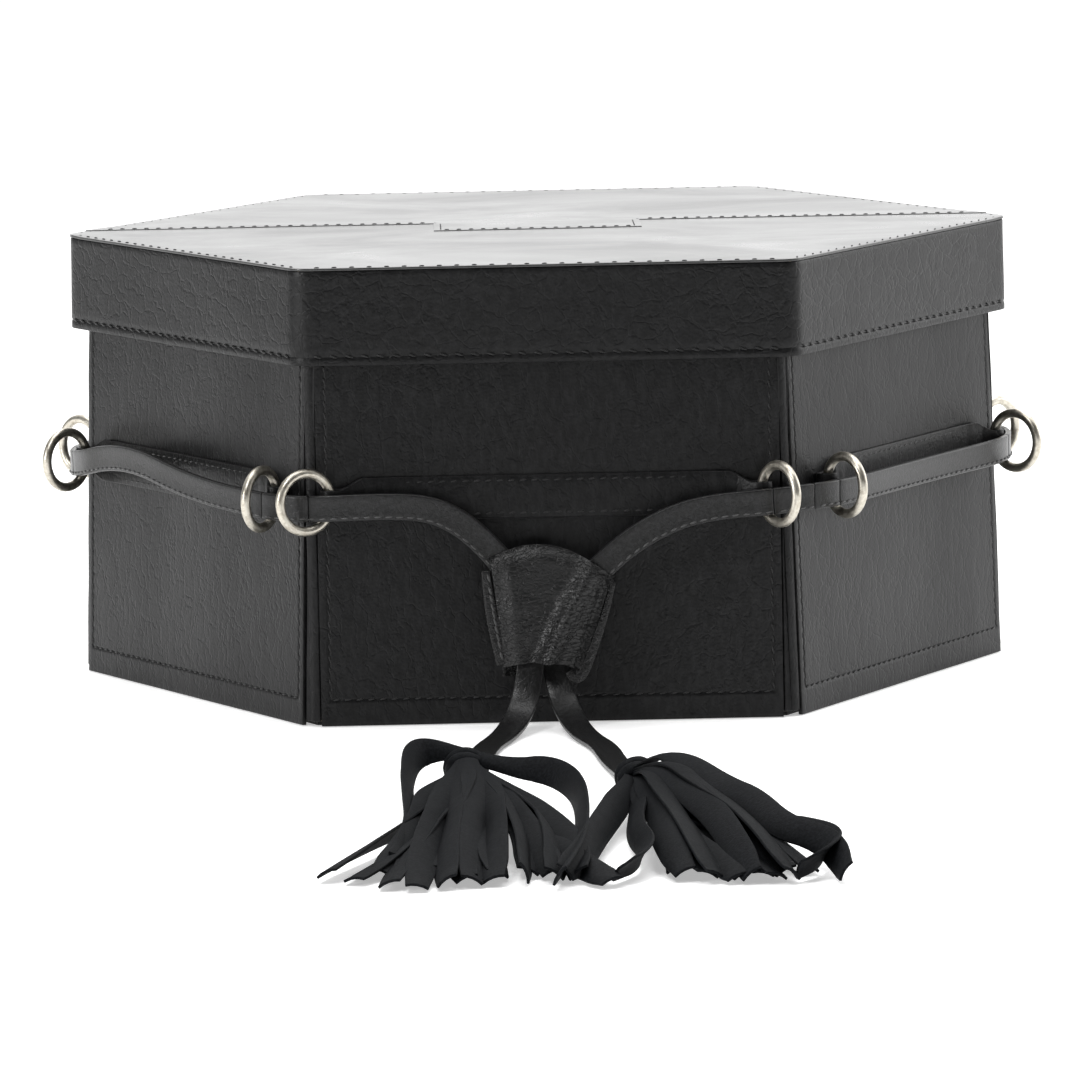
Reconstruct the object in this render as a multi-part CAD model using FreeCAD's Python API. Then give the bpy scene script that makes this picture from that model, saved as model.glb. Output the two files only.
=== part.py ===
"""A six-sided leather hat box: a lift-off lid, six stiff wall panels that fall open on their
foot folds, and a leather drawstring that runs round the box through twelve rings, down through
a folded keeper, and out along the floor to two tassels.

Frame: origin at the middle of the box's foot, +Z up, the front panel faces -Y. Millimetres.
A panel is drawn in its own frame: X along the panel to the viewer's right, Y into the box from
the leather's outer face, Z up the panel from its foot. Panel 0 is the front one, and the others
follow anticlockwise seen from above.
"""
import FreeCAD
import Part

import os
from math import cos, hypot, radians, sin, tan

Vector = FreeCAD.Vector

# ---- Driving dimensions (mm, degrees) ----

# the six walls
box_apothem = 175.5        # centre of the box to a panel's outer face, at its foot
corner_gap = 5.325         # panel's side edge to the corner of the walls, at the foot
panel_height = 186.0
panel_lean = 1.8           # each panel leans in by this much when the box is shut
foot_gap = 0.4             # panel foot above the surface the box stands on
wall_leather = 1.8
wall_board = 3.0
wall_lining = 0.8
board_inset = 4.0          # board edge inside the leather's side edge
lining_inset = 6.0

# the base, inside the walls
base_leather = 1.6
base_board = 4.0
base_lining = 0.8
base_clearance = 0.7       # base edge to the panels' inner face

# the lid
rim_height = 41.0
rim_leather = 1.8
rim_board = 2.0
rim_clearance = 3.0        # panel's outer face to the rim's inside, at the rim's lower edge
lid_headroom = 0.9         # top of the panels to the lid lining
lid_leather = 1.8
lid_board = 2.4
lid_lining = 0.6
lining_clearance = 0.3     # lid lining to the rim board
rim_hem = 0.8              # the rim board stops this far above the leather's edge
seam_offset = 14.0         # lid seam behind the corner-to-corner line
seam_gap = 0.2
tongue_width = 90.0        # the back leather's sewn tongue over the front leather
tongue_depth = 34.0

# the corner gussets
gusset_leather = 1.0
gusset_clearance = 0.3
gusset_depth_foot = 10.0   # fold depth, corner to fold
gusset_depth_top = 28.0
gusset_foot_gap = 0.8      # above the base lining
gusset_top_drop = 3.0      # below the panel's top edge

# bands and rings
band_height = 94.5         # band's middle above the panel's foot
band_width = 18.0
band_leather = 2.0
loop_height = 9.0
loop_wall = 1.5
loop_taper = 10.0          # length over which the band narrows to its loop
loop_clearance = 0.3       # loop to the panel's leather
ring_bore = 20.0
ring_wire = 4.0
ring_play = 0.15           # loop bore to the bent wire

# the strap
strap_width = 11.0
strap_thickness = 2.5
strap_clearance = 1.5      # strap's lower edge to the inside of the rings
slack_bow = 7.0            # the strap stands off the left front panel by this much more
strap_standoff = 12.5      # strap's middle from a panel, half way along it
slack_places = (0.68, 0.34)    # shares of the way between two rings where the strap's route bends
slack_drop = 0.5           # the strap hangs this much lower between its rings
strap_lead = 6.6           # straight stretch where the strap meets its tail inside the keeper
arc_share = 0.45           # how much of the shorter run each rounded corner takes

# the keeper
keeper_top_ease = 34.0     # the sleeve's width beyond the two straps side by side
keeper_foot_ease = 15.0
keeper_top_height = 60.0   # above the floor
keeper_foot_height = 20.0
keeper_depth = 15.0
keeper_foot_depth = 13.5
keeper_wall = 1.6
keeper_top_standoff = 12.5     # keeper's middle from the foot plane of the front panel
keeper_foot_standoff = 15.0
keeper_corner = 5.0        # radius of the sleeve's upright corners

# knots and tassels
knot_radius = 8.0
knot_length = 14.0
tassel_gap = 1.5           # tail's end to the knot, and knot to the strips

panel_names = ["front", "right_front", "right_back", "back", "left_back", "left_front"]
corner_names = ["right_front", "right", "right_back", "left_back", "left", "left_front"]

# how each panel's two rings hang: inset of the loop from the panel's edge, and the ring's swing
# from straight out, positive to the viewer's right
ring_settings = {
    "front": {"left": (6.0, -60.0), "right": (8.0, 34.0)},
    "right_front": {"left": (22.0, -25.0), "right": (9.0, -13.0)},
    "right_back": {"left": (16.0, 15.0), "right": (10.0, 25.0)},
    "back": {"left": (10.0, -25.0), "right": (10.0, 25.0)},
    "left_back": {"left": (10.0, -25.0), "right": (16.0, -15.0)},
    "left_front": {"left": (7.0, 17.0), "right": (14.0, 28.0)},
}

# the strap's two tails, from inside the keeper to their knots: x, distance in front of the
# front panel's foot, and height, for each point
tail_left_route = [
    (-9.0, 13.5, 46.0), (-8.6, 14.3, 34.0), (-9.4, 16.5, 23.0), (-12.2, 22.0, 11.5),
    (-16.5, 32.5, 4.6), (-21.5, 48.5, 1.7), (-28.5, 73.5, 1.5), (-32.0, 108.5, 1.7),
    (-36.5, 138.5, 4.4), (-37.0, 156.5, 9.0),
]
tail_right_route = [
    (3.0, 9.7, 46.0), (1.6, 10.5, 34.0), (1.2, 12.7, 23.0), (4.2, 19.0, 11.8),
    (8.0, 31.0, 4.8), (12.5, 49.5, 1.7), (19.5, 76.5, 1.5), (22.0, 112.5, 1.6),
    (27.0, 147.5, 1.8), (27.6, 172.5, 4.6), (28.5, 188.5, 9.0),
]

# the two runs from the front rings down to the keeper: x, z of each point, y by the front panel
left_run = [(-66.0, 92.6), (-48.0, 91.0), (-34.5, 83.5), (-23.0, 72.0), (-14.0, 60.0)]
right_run = [(64.0, 89.2), (46.5, 83.5), (31.5, 74.5), (19.5, 64.0), (10.5, 56.5)]

# the tassels' plan: half widths at the knot and at the tips, and where the tips lie
tassel_near_half = 9.0
tassel_near_height = 20.0
tassel_tip_height = 12.0
tassel_left_tips = (-88.0, 6.0, 370.5)     # left edge, right edge, distance in front of the box
tassel_right_tips = (18.0, 99.0, 374.5)
tassel_floor_gap = 0.4

# ---- Worked out from the driving dimensions ----

corner_angle = 360.0 / len(panel_names)
half_corner = radians(corner_angle / 2)
panel_width = 2 * (box_apothem * tan(half_corner) - corner_gap)
panel_thickness = wall_leather + wall_board + wall_lining
lean_slope = tan(radians(panel_lean))
panel_top = foot_gap + panel_height * cos(radians(panel_lean))
lid_underside = panel_top + lid_headroom
lid_top = lid_underside + lid_lining + lid_board + lid_leather
rim_foot = lid_top - rim_height
rim_inner = box_apothem - rim_foot * lean_slope + rim_clearance
rim_face = rim_inner + rim_board + rim_leather
ring_radius = (ring_bore + ring_wire) / 2
strap_sag = (ring_bore - strap_width) / 2 - strap_clearance
wire_radius = ring_wire / 2
wire_bend = ring_radius - (ring_radius ** 2 - (loop_height / 2) ** 2) ** 0.5
loop_bore = wire_radius + wire_bend + ring_play
loop_radius = loop_bore + loop_wall
loop_out = loop_radius + loop_clearance
keeper_top_width = 2 * strap_width + keeper_top_ease
keeper_foot_width = 2 * strap_width + keeper_foot_ease


def save(shape, name):
    shape.exportStep("parts/" + name + ".step")
    print(name, "solids", len(shape.Solids), "valid", shape.isValid(), "cm3", round(shape.Volume / 1000, 2))


def hexagon(apothem, height):
    """The flat outline of the box at one height, with flats facing -Y and +Y."""
    radius = apothem / cos(half_corner)
    angles = [radians(corner_angle * index) for index in range(len(panel_names) + 1)]
    points = [Vector(radius * cos(angle), radius * sin(angle), height) for angle in angles]
    return Part.Face(Part.makePolygon(points))


def hex_plate(apothem, low, high):
    return hexagon(apothem, low).extrude(Vector(0, 0, high - low))


def box(x_low, x_high, y_low, y_high, z_low, z_high):
    size = (x_high - x_low, y_high - y_low, z_high - z_low)
    return Part.makeBox(size[0], size[1], size[2], Vector(x_low, y_low, z_low))


def stand_up(shape, index):
    """Move a shape from a panel's own frame to its place on the box."""
    placed = shape.copy()
    placed.rotate(Vector(0, 0, 0), Vector(1, 0, 0), -panel_lean)
    placed.translate(Vector(0, -box_apothem, foot_gap))
    placed.rotate(Vector(0, 0, 0), Vector(0, 0, 1), corner_angle * index)
    return placed


def panel_point(index, along, out, up):
    """The place of a point given in a panel's own frame, with out measured away from the box."""
    spot = stand_up(Part.Vertex(along, -out, up), index)
    return spot.Point


def in_front(point):
    """The place of a point given as x, distance in front of the front panel's foot, and height."""
    x, out, z = point
    return Vector(x, -box_apothem - out, z)


def base_nodes():
    """A leather foot sheet, a board and a lining, stacked inside the walls."""
    edge = box_apothem - panel_thickness - base_clearance
    level = 0.0
    for name, thickness in (("leather", base_leather), ("board", base_board), ("lining", base_lining)):
        save(hex_plate(edge, level, level + thickness), "base_" + name)
        level += thickness
    return level


def lid_nodes():
    """The rim's leather and board, the top board, its lining, and the two top leathers."""
    leather_foot = lid_top - lid_leather
    board_foot = leather_foot - lid_board
    outer = hex_plate(rim_face, rim_foot, leather_foot)
    inner = hex_plate(rim_face - rim_leather, rim_foot, leather_foot)
    save(outer.cut(inner), "lid_rim_leather")
    board = hex_plate(rim_face - rim_leather, rim_foot + rim_hem, board_foot)
    hollow = hex_plate(rim_inner, rim_foot, board_foot)
    save(board.cut(hollow), "lid_rim_board")
    save(hex_plate(rim_face - rim_leather, board_foot, leather_foot), "lid_board")
    lining_face = rim_inner - lining_clearance
    save(hex_plate(lining_face, board_foot - lid_lining, board_foot), "lid_lining")
    top = hex_plate(rim_face, leather_foot, lid_top)
    reach = 2 * rim_face
    tongue_tip = seam_offset - tongue_depth
    half = tongue_width / 2
    back_half = box(-reach, reach, seam_offset, reach, leather_foot, lid_top)
    tongue = box(-half, half, tongue_tip, reach, leather_foot, lid_top)
    save(top.common(back_half.fuse(tongue)).removeSplitter(), "lid_back_leather")
    front_half = box(-reach, reach, -reach, seam_offset - seam_gap, leather_foot, lid_top)
    notch_half = half + seam_gap
    notch = box(-notch_half, notch_half, tongue_tip - seam_gap, reach, leather_foot, lid_top)
    save(top.common(front_half).cut(notch), "lid_front_leather")


def panel_nodes(index, name):
    """A leather face, a stiff board and a lining, one behind the other."""
    half = panel_width / 2
    leather = box(-half, half, 0, wall_leather, 0, panel_height)
    board_half = half - board_inset
    board_foot = board_inset / 2
    board_top = panel_height - board_foot
    board_back = wall_leather + wall_board
    board = box(-board_half, board_half, wall_leather, board_back, board_foot, board_top)
    lining_half = half - lining_inset
    lining_foot = board_inset
    lining_top = panel_height - lining_foot
    lining = box(-lining_half, lining_half, board_back, panel_thickness, lining_foot, lining_top)
    save(stand_up(leather, index), name + "_panel_leather")
    save(stand_up(board, index), name + "_panel_board")
    save(stand_up(lining, index), name + "_panel_lining")


def loop_place(name, side):
    """Along-panel place of a ring's loop axis, and the ring's swing in radians."""
    inset, swing = ring_settings[name][side]
    place = panel_width / 2 - inset
    return (-place if side == "left" else place), radians(swing)


def band_node(index, name):
    """A flat band sewn to the panel, narrowed at each end and folded round its ring."""
    left, _ = loop_place(name, "left")
    right, _ = loop_place(name, "right")
    wide = band_width / 2
    narrow = loop_height / 2
    outline = [
        (left, narrow), (left + loop_taper, wide), (right - loop_taper, wide), (right, narrow),
        (right, -narrow), (right - loop_taper, -wide), (left + loop_taper, -wide), (left, -narrow),
        (left, narrow),
    ]
    points = [Vector(along, 0, band_height + up) for along, up in outline]
    band = Part.Face(Part.makePolygon(points)).extrude(Vector(0, -band_leather, 0))
    for place in (left, right):
        foot = Vector(place, -loop_out, band_height - narrow)
        band = band.fuse(Part.makeCylinder(loop_radius, loop_height, foot))
    for place in (left, right):
        foot = Vector(place, -loop_out, band_height - wide)
        band = band.cut(Part.makeCylinder(loop_bore, band_width, foot))
    save(stand_up(band.removeSplitter(), index), name + "_band")


def ring_centre(name, side):
    """A ring's middle in its panel's frame: along, out."""
    place, swing = loop_place(name, side)
    return place + ring_radius * sin(swing), loop_out + ring_radius * cos(swing)


def ring_node(index, name, side):
    """A round wire ring that stands upright in its loop."""
    _, swing = loop_place(name, side)
    along, out = ring_centre(name, side)
    normal = Vector(cos(swing), sin(swing), 0)
    ring = Part.makeTorus(ring_radius, wire_radius, Vector(along, -out, band_height), normal)
    save(stand_up(ring, index), name + "_ring_" + side)


def gusset_section(height, depth):
    """The folded gusset's outline at one height, in the frame of the corner on +X."""
    apothem = box_apothem - height * lean_slope
    board_half = panel_width / 2 - board_inset
    end_in = wall_leather + wall_board / 2
    end_out = (apothem - end_in) * cos(half_corner) + board_half * sin(half_corner)
    side = (apothem - panel_thickness) * sin(half_corner) - board_half * cos(half_corner) - gusset_clearance
    fold = end_out - depth
    nose = fold + gusset_leather * depth / side
    outline = [
        (fold, 0), (end_out, side), (end_out, side - gusset_leather), (nose, 0),
        (end_out, gusset_leather - side), (end_out, -side), (fold, 0),
    ]
    return Part.makePolygon([Vector(x, y, height) for x, y in outline])


def gusset_node(index, name, floor):
    """One fold of thin leather that closes the corner between two panels."""
    low = gusset_section(floor + gusset_foot_gap, gusset_depth_foot)
    high = gusset_section(panel_top - gusset_top_drop, gusset_depth_top)
    gusset = Part.makeLoft([low, high], True, True)
    corner = corner_angle * index - corner_angle
    gusset.rotate(Vector(0, 0, 0), Vector(0, 0, 1), corner)
    save(gusset, "gusset_" + name)


def rounded_path(points):
    """Straight runs joined by tangent arcs, each as large as its two runs allow."""
    edges = []
    radii = []
    start = points[0]
    for before, corner, after in zip(points, points[1:], points[2:]):
        back = (before - corner).normalize()
        ahead = (after - corner).normalize()
        turn = back.getAngle(ahead * -1)
        shorter = min((before - corner).Length, (after - corner).Length)
        reach = arc_share * shorter
        radius = reach / tan(turn / 2)
        entry = corner + back * reach
        leave = corner + ahead * reach
        inward = (back + ahead).normalize()
        centre = corner + inward * hypot(radius, reach)
        middle = centre - inward * radius
        edges.append(Part.LineSegment(start, entry).toShape())
        edges.append(Part.Arc(entry, middle, leave).toShape())
        radii.append(radius)
        start = leave
    edges.append(Part.LineSegment(start, points[-1]).toShape())
    return Part.Wire(edges), radii


def strap(points, across, stays_level, name):
    """A flat strap swept along a route, its width along `across` at the start, or all the way."""
    path, radii = rounded_path(points)
    ahead = (points[1] - points[0]).normalize()
    face = ahead.cross(across).normalize()
    wide = face.cross(ahead).normalize() * (strap_width / 2)
    thick = face * (strap_thickness / 2)
    signs = [(1, 1), (-1, 1), (-1, -1), (1, -1), (1, 1)]
    section = Part.makePolygon([points[0] + wide * w + thick * t for w, t in signs])
    sweep = Part.BRepOffsetAPI.MakePipeShell(path)
    if stays_level:
        sweep.setBiNormalMode(across)
    else:
        sweep.setFrenetMode(False)
    sweep.add(section, False, False)
    sweep.build()
    sweep.makeSolid()
    solid = sweep.shape()
    expected = strap_width * strap_thickness * path.Length
    print(name, "length", round(path.Length, 1), "smallest radius", round(min(radii), 1),
          "volume share", round(solid.Volume / expected, 3))
    save(solid, name)


def belt_route():
    """The strap's way from the keeper, round the box through the twelve rings, and back."""
    rest_up = band_height - strap_sag
    points = []
    left_start = [in_front(point) for point in tail_left_route[:2]]
    right_start = [in_front(point) for point in tail_right_route[:2]]
    points.append(left_start[0])
    points.append(left_start[0] + (left_start[0] - left_start[1]).normalize() * strap_lead)
    for x, z in reversed(left_run):
        points.append(panel_point(0, x, strap_standoff, z))
    for index in range(len(panel_names), 0, -1):
        spot = index % len(panel_names)
        name = panel_names[spot]
        bow = slack_bow if name == "left_front" else 0.0
        left_along, left_out = ring_centre(name, "left")
        right_along, right_out = ring_centre(name, "right")
        if spot == 0:
            points.append(panel_point(0, left_along, left_out, rest_up))
            continue
        span = right_along - left_along
        points.append(panel_point(spot, right_along, right_out, rest_up))
        for share in slack_places:
            middle = panel_point(spot, left_along + share * span, strap_standoff + bow, rest_up - slack_drop)
            points.append(middle)
        points.append(panel_point(spot, left_along, left_out, rest_up))
    along, out = ring_centre("front", "right")
    points.append(panel_point(0, along, out, rest_up))
    for x, z in right_run:
        points.append(panel_point(0, x, strap_standoff, z))
    points.append(right_start[0] + (right_start[0] - right_start[1]).normalize() * strap_lead)
    points.append(right_start[0])
    return points


def rounded_section(width, depth, corner, centre_y, height):
    """A rounded rectangle, lying flat at one height."""
    half_w = width / 2
    half_d = depth / 2
    slant = corner * (1 - cos(radians(45)))
    edges = []
    corners = [(1, -1), (1, 1), (-1, 1), (-1, -1)]
    starts = []
    ends = []
    middles = []
    for number, (sx, sy) in enumerate(corners):
        on_x = Vector(sx * (half_w - corner), centre_y + sy * half_d, height)
        on_y = Vector(sx * half_w, centre_y + sy * (half_d - corner), height)
        middle = Vector(sx * (half_w - slant), centre_y + sy * (half_d - slant), height)
        first, last = (on_x, on_y) if number % 2 == 0 else (on_y, on_x)
        starts.append(first)
        middles.append(middle)
        ends.append(last)
    for number in range(len(corners)):
        edges.append(Part.Arc(starts[number], middles[number], ends[number]).toShape())
        following = starts[(number + 1) % len(corners)]
        edges.append(Part.LineSegment(ends[number], following).toShape())
    return Part.Wire(edges)


def keeper_node():
    """A tapered sleeve that holds both straps side by side."""
    top_y = -box_apothem - keeper_top_standoff
    foot_y = -box_apothem - keeper_foot_standoff
    shells = []
    for wall in (0.0, keeper_wall):
        corner = keeper_corner - wall
        low = rounded_section(keeper_foot_width - 2 * wall, keeper_foot_depth - 2 * wall, corner, foot_y,
                              keeper_foot_height)
        high = rounded_section(keeper_top_width - 2 * wall, keeper_depth - 2 * wall, corner, top_y,
                               keeper_top_height)
        shells.append(Part.makeLoft([low, high], True, True))
    save(shells[0].cut(shells[1]), "keeper")


def knot_and_tassel(route, tips, side):
    """A knot at the tail's end, and the bunch of strips that fans out from it on the floor."""
    end = in_front(route[-1])
    ahead = (end - in_front(route[-2])).normalize()
    flat = Vector(ahead.x, ahead.y, 0).normalize()
    knot_start = end + ahead * tassel_gap
    knot = Part.makeCylinder(knot_radius, knot_length, knot_start, flat)
    save(knot, "knot_" + side)
    root = knot_start + flat * (knot_length + tassel_gap + knot_radius * abs(ahead.z))
    across = Vector(-flat.y, flat.x, 0) * tassel_near_half
    left, right, far = tips
    low = tassel_floor_gap
    ends = [
        (root - across, root + across, tassel_near_height),
        (in_front((left, far, 0)), in_front((right, far, 0)), tassel_tip_height),
    ]
    sections = []
    for first, second, height in ends:
        corners = [(first, low), (second, low), (second, height), (first, height), (first, low)]
        sections.append(Part.makePolygon([Vector(spot.x, spot.y, z) for spot, z in corners]))
    save(Part.makeLoft(sections, True, True), "tassel_" + side)


os.makedirs("parts", exist_ok=True)
print("lid top", round(lid_top, 2), "rim foot", round(rim_foot, 2), "lid side",
      round(rim_face * 2 * tan(half_corner), 2), "loop out", round(loop_out, 2))
base_top = base_nodes()
lid_nodes()
for panel_index, panel_name in enumerate(panel_names):
    panel_nodes(panel_index, panel_name)
    band_node(panel_index, panel_name)
    ring_node(panel_index, panel_name, "left")
    ring_node(panel_index, panel_name, "right")
for corner_index, corner_name in enumerate(corner_names):
    gusset_node(corner_index, corner_name, base_top)
strap(belt_route(), Vector(1, 0, 0), False, "drawstring_belt")
strap([in_front(point) for point in tail_left_route], Vector(1, 0, 0), True, "tail_left")
strap([in_front(point) for point in tail_right_route], Vector(1, 0, 0), True, "tail_right")
keeper_node()
knot_and_tassel(tail_left_route, tassel_left_tips, "left")
knot_and_tassel(tail_right_route, tassel_right_tips, "right")
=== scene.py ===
# %% [markdown]
# # A six-sided leather hat box
#
# The box is six stiff leather panels round a hexagonal foot, with a lift-off lid. A leather
# drawstring runs round it through twelve rings, down through a folded keeper at the front, and
# out along the floor to two tassels. The moving frame is already made, so this lesson only dresses
# it. Lengths are in metres, +Z is up, and the front panel faces -Y.

# %% Open the frame
import math
import random

import bmesh
import bpy
from mathutils import Matrix, Vector, noise


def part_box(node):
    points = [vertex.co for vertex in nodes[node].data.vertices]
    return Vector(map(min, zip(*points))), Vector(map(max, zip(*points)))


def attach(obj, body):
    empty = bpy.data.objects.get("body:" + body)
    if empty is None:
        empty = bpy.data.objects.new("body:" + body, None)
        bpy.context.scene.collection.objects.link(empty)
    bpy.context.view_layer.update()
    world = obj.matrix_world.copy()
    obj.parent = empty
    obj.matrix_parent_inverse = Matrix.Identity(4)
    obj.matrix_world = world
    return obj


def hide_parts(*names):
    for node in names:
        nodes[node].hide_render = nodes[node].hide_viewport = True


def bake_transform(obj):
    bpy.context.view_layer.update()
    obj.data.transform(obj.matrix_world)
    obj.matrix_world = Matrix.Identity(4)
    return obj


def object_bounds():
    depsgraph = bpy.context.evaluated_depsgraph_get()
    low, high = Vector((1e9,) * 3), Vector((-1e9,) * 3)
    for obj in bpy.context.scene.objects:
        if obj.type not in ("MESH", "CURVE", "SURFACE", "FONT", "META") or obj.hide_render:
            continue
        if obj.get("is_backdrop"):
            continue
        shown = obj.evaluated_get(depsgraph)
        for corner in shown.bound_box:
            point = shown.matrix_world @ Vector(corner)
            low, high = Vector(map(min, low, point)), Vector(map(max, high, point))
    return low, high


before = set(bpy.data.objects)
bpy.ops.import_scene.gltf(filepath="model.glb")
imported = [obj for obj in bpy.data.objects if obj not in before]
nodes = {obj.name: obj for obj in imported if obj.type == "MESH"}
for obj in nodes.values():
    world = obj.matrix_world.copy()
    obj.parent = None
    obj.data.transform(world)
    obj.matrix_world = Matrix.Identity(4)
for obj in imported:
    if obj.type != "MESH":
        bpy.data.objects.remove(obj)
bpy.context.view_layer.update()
bpy.ops.object.select_all(action="DESELECT")

# %% [markdown]
# ## Sizes
#
# Everything that has to meet the frame is worked out from it. A panel is drawn in its own frame:
# X along the panel to the viewer's right, Y into the box, Z up the panel from its foot. Panel 0 is
# the front one, and the others follow anticlockwise seen from above.

# %% Sizes and panel frames
mm = 0.001
panel_names = ["front", "right_front", "right_back", "back", "left_back", "left_front"]
corner_names = ["right_front", "right", "right_back", "left_back", "left", "left_front"]
apothem = -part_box("front_panel_leather")[0].y
lean = math.radians(1.8)
foot_gap = 0.4 * mm
panel_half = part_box("front_panel_leather")[1].x
panel_height = 186 * mm
panel_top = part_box("front_panel_leather")[1].z
wall_leather = 1.8 * mm
wall = 5.6 * mm
rim_face = -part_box("lid_rim_leather")[0].y
rim_foot, rim_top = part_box("lid_rim_leather")[0].z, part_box("lid_rim_leather")[1].z
lid_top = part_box("lid_back_leather")[1].z
band_up = 94.5 * mm
loop_out = 4.83 * mm
ring_radius = 12 * mm
wire_radius = 2 * mm
strap_width = 11 * mm
strap_thick = 2.5 * mm
sixth = math.radians(60)
front_way, up_way = Vector((0, -1, 0)), Vector((0, 0, 1))
ring_settings = {
    "front": ((6, -60), (8, 34)),
    "right_front": ((22, -25), (9, -13)),
    "right_back": ((16, 15), (10, 25)),
    "back": ((10, -25), (10, 25)),
    "left_back": ((10, -25), (16, -15)),
    "left_front": ((7, 17), (14, 28)),
}


def panel_frame(index):
    """The matrix that stands a panel's own frame up on the box."""
    turn = Matrix.Rotation(sixth * index, 4, "Z")
    return turn @ Matrix.Translation((0, -apothem, foot_gap)) @ Matrix.Rotation(-lean, 4, "X")


def panel_point(index, along, out, up):
    """A point given in a panel's own frame, with out measured away from the box."""
    return panel_frame(index) @ Vector((along, -out, up))


def in_front(x, out, up):
    """A point given in millimetres: x, distance in front of the front panel's foot, and height."""
    return Vector((x * mm, -apothem - out * mm, up * mm))


def loop_place(name, right):
    """Along-panel place of a ring's loop, and the ring's swing from straight out."""
    inset, swing = ring_settings[name][int(right)]
    place = panel_half - inset * mm
    return (place if right else -place), math.radians(swing)


print("panel", round(panel_half * 2, 4), "wide, lid side", round(rim_face * 2 * math.tan(sixth / 2), 4))

# %% [markdown]
# ## Camera and light
#
# The box is looked at from a little above and from far away, with a long lens, so its upright
# edges stay almost parallel. Black leather has hardly any colour of its own: what shows is what it
# mirrors. So the room is bright behind the box and to its right, and dim in front, and that alone
# makes the lid pale, the right side grey and the front nearly black.

# %% Camera
cam_azimuth, cam_elevation, cam_roll = math.radians(-0.884), math.radians(7.621), math.radians(-1.076)
cam_back = Vector((math.sin(cam_azimuth) * math.cos(cam_elevation),
                   -math.cos(cam_azimuth) * math.cos(cam_elevation), math.sin(cam_elevation)))
level = Vector((math.cos(cam_azimuth), math.sin(cam_azimuth), 0))
upright = cam_back.cross(level)
cam_right = level * math.cos(cam_roll) + upright * math.sin(cam_roll)
cam_up = upright * math.cos(cam_roll) - level * math.sin(cam_roll)
bpy.ops.object.camera_add()
camera = bpy.context.object
camera.name = "camera"
camera.data.lens = 245
camera.data.sensor_width = 36
turned = Matrix((cam_right, cam_up, cam_back)).transposed().to_4x4()
camera.matrix_world = Matrix.Translation((-0.0505, -3.1914, 0.4802)) @ turned
camera.data.clip_end = 60
bpy.context.scene.camera = camera
print("camera", [round(v, 3) for v in camera.location])

# %% Tools for light and finishes


def start_material(name, colour, roughness, specular):
    """A new material with its plain settings, its node tree and its shader."""
    material = bpy.data.materials.new(name)
    material.use_nodes = True
    shader = material.node_tree.nodes["Principled BSDF"]
    shader.inputs["Base Color"].default_value = (*colour, 1)
    shader.inputs["Roughness"].default_value = roughness
    shader.inputs["Specular IOR Level"].default_value = specular
    return material, material.node_tree, shader


def node(tree, kind, **values):
    """A new node. A socket is linked to the input of its name, and any other value is set."""
    made = tree.nodes.new(kind)
    for key, value in values.items():
        if isinstance(value, bpy.types.NodeSocket):
            tree.links.new(value, made.inputs[key])
        elif key in made.inputs:
            made.inputs[key].default_value = value
        else:
            setattr(made, key, value)
    return made


def combined(tree, operation, first, second):
    """Two sockets' values put through one math node."""
    made = node(tree, "ShaderNodeMath", operation=operation)
    tree.links.new(first, made.inputs[0])
    tree.links.new(second, made.inputs[1])
    return made.outputs[0]


def ranged(tree, value, start, end, curve="LINEAR"):
    """A socket's value, mapped from the start range to the end range."""
    made = node(tree, "ShaderNodeMapRange", Value=value, interpolation_type=curve)
    for key, setting in zip(("From Min", "From Max", "To Min", "To Max"), (*start, *end)):
        made.inputs[key].default_value = setting
    return made.outputs[0]


def two_tone(tree, value, low, high, places=(0.0, 1.0)):
    """A colour that runs from low to high between two places of a socket's value."""
    made = node(tree, "ShaderNodeValToRGB")
    tree.links.new(value, made.inputs[0])
    for element, place, colour in zip(made.color_ramp.elements, places, (low, high)):
        element.position = place
        element.color = (*colour, 1)
    return made.outputs[0]


def bumped(tree, height, depth, strength, under=None):
    """A bump from a socket's height, on top of another bump if there is one."""
    made = node(tree, "ShaderNodeBump", Height=height, Distance=depth, Strength=strength)
    if under is not None:
        tree.links.new(under, made.inputs["Normal"])
    return made.outputs[0]


def on_object(tree):
    """Places on the object itself, so that a pattern goes with it when it moves."""
    return node(tree, "ShaderNodeTexCoord").outputs["Object"]


# %% Floor, room and lamps
bpy.ops.mesh.primitive_plane_add(size=60)
floor = bpy.context.object
floor.name = "floor"
floor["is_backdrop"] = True
floor_paint, _, floor_shader = start_material("floor_paint", (0.86, 0.86, 0.86), 0.8, 0.0)
floor_shader.inputs["Emission Color"].default_value = (1, 1, 1, 1)
floor_shader.inputs["Emission Strength"].default_value = 0.42
floor.data.materials.append(floor_paint)

room = bpy.data.worlds.new("room")
bpy.context.scene.world = room
room.use_nodes = True
room_tree = room.node_tree
room_tree.nodes.clear()
sky = node(room_tree, "ShaderNodeTexCoord").outputs["Generated"]
axis = node(room_tree, "ShaderNodeSeparateXYZ", Vector=sky)
to_back = ranged(room_tree, axis.outputs["Y"], (-0.6, 0.35), (0.07, 1.9), "SMOOTHSTEP")
to_right = ranged(room_tree, axis.outputs["X"], (-0.9, -0.05), (0.10, 1.0))
window = ranged(room_tree, axis.outputs["Y"], (0.72, 0.95), (0.0, 0.62))
walls = combined(room_tree, "MULTIPLY", to_back, to_right)
dim = node(room_tree, "ShaderNodeBackground", Strength=combined(room_tree, "ADD", walls, window))
white = node(room_tree, "ShaderNodeBackground", Strength=1.0)
ray = node(room_tree, "ShaderNodeLightPath")
pick = node(room_tree, "ShaderNodeMixShader")
for number, socket in enumerate((ray.outputs["Is Camera Ray"], dim.outputs[0], white.outputs[0])):
    room_tree.links.new(socket, pick.inputs[number])
node(room_tree, "ShaderNodeOutputWorld", Surface=pick.outputs[0])


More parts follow.
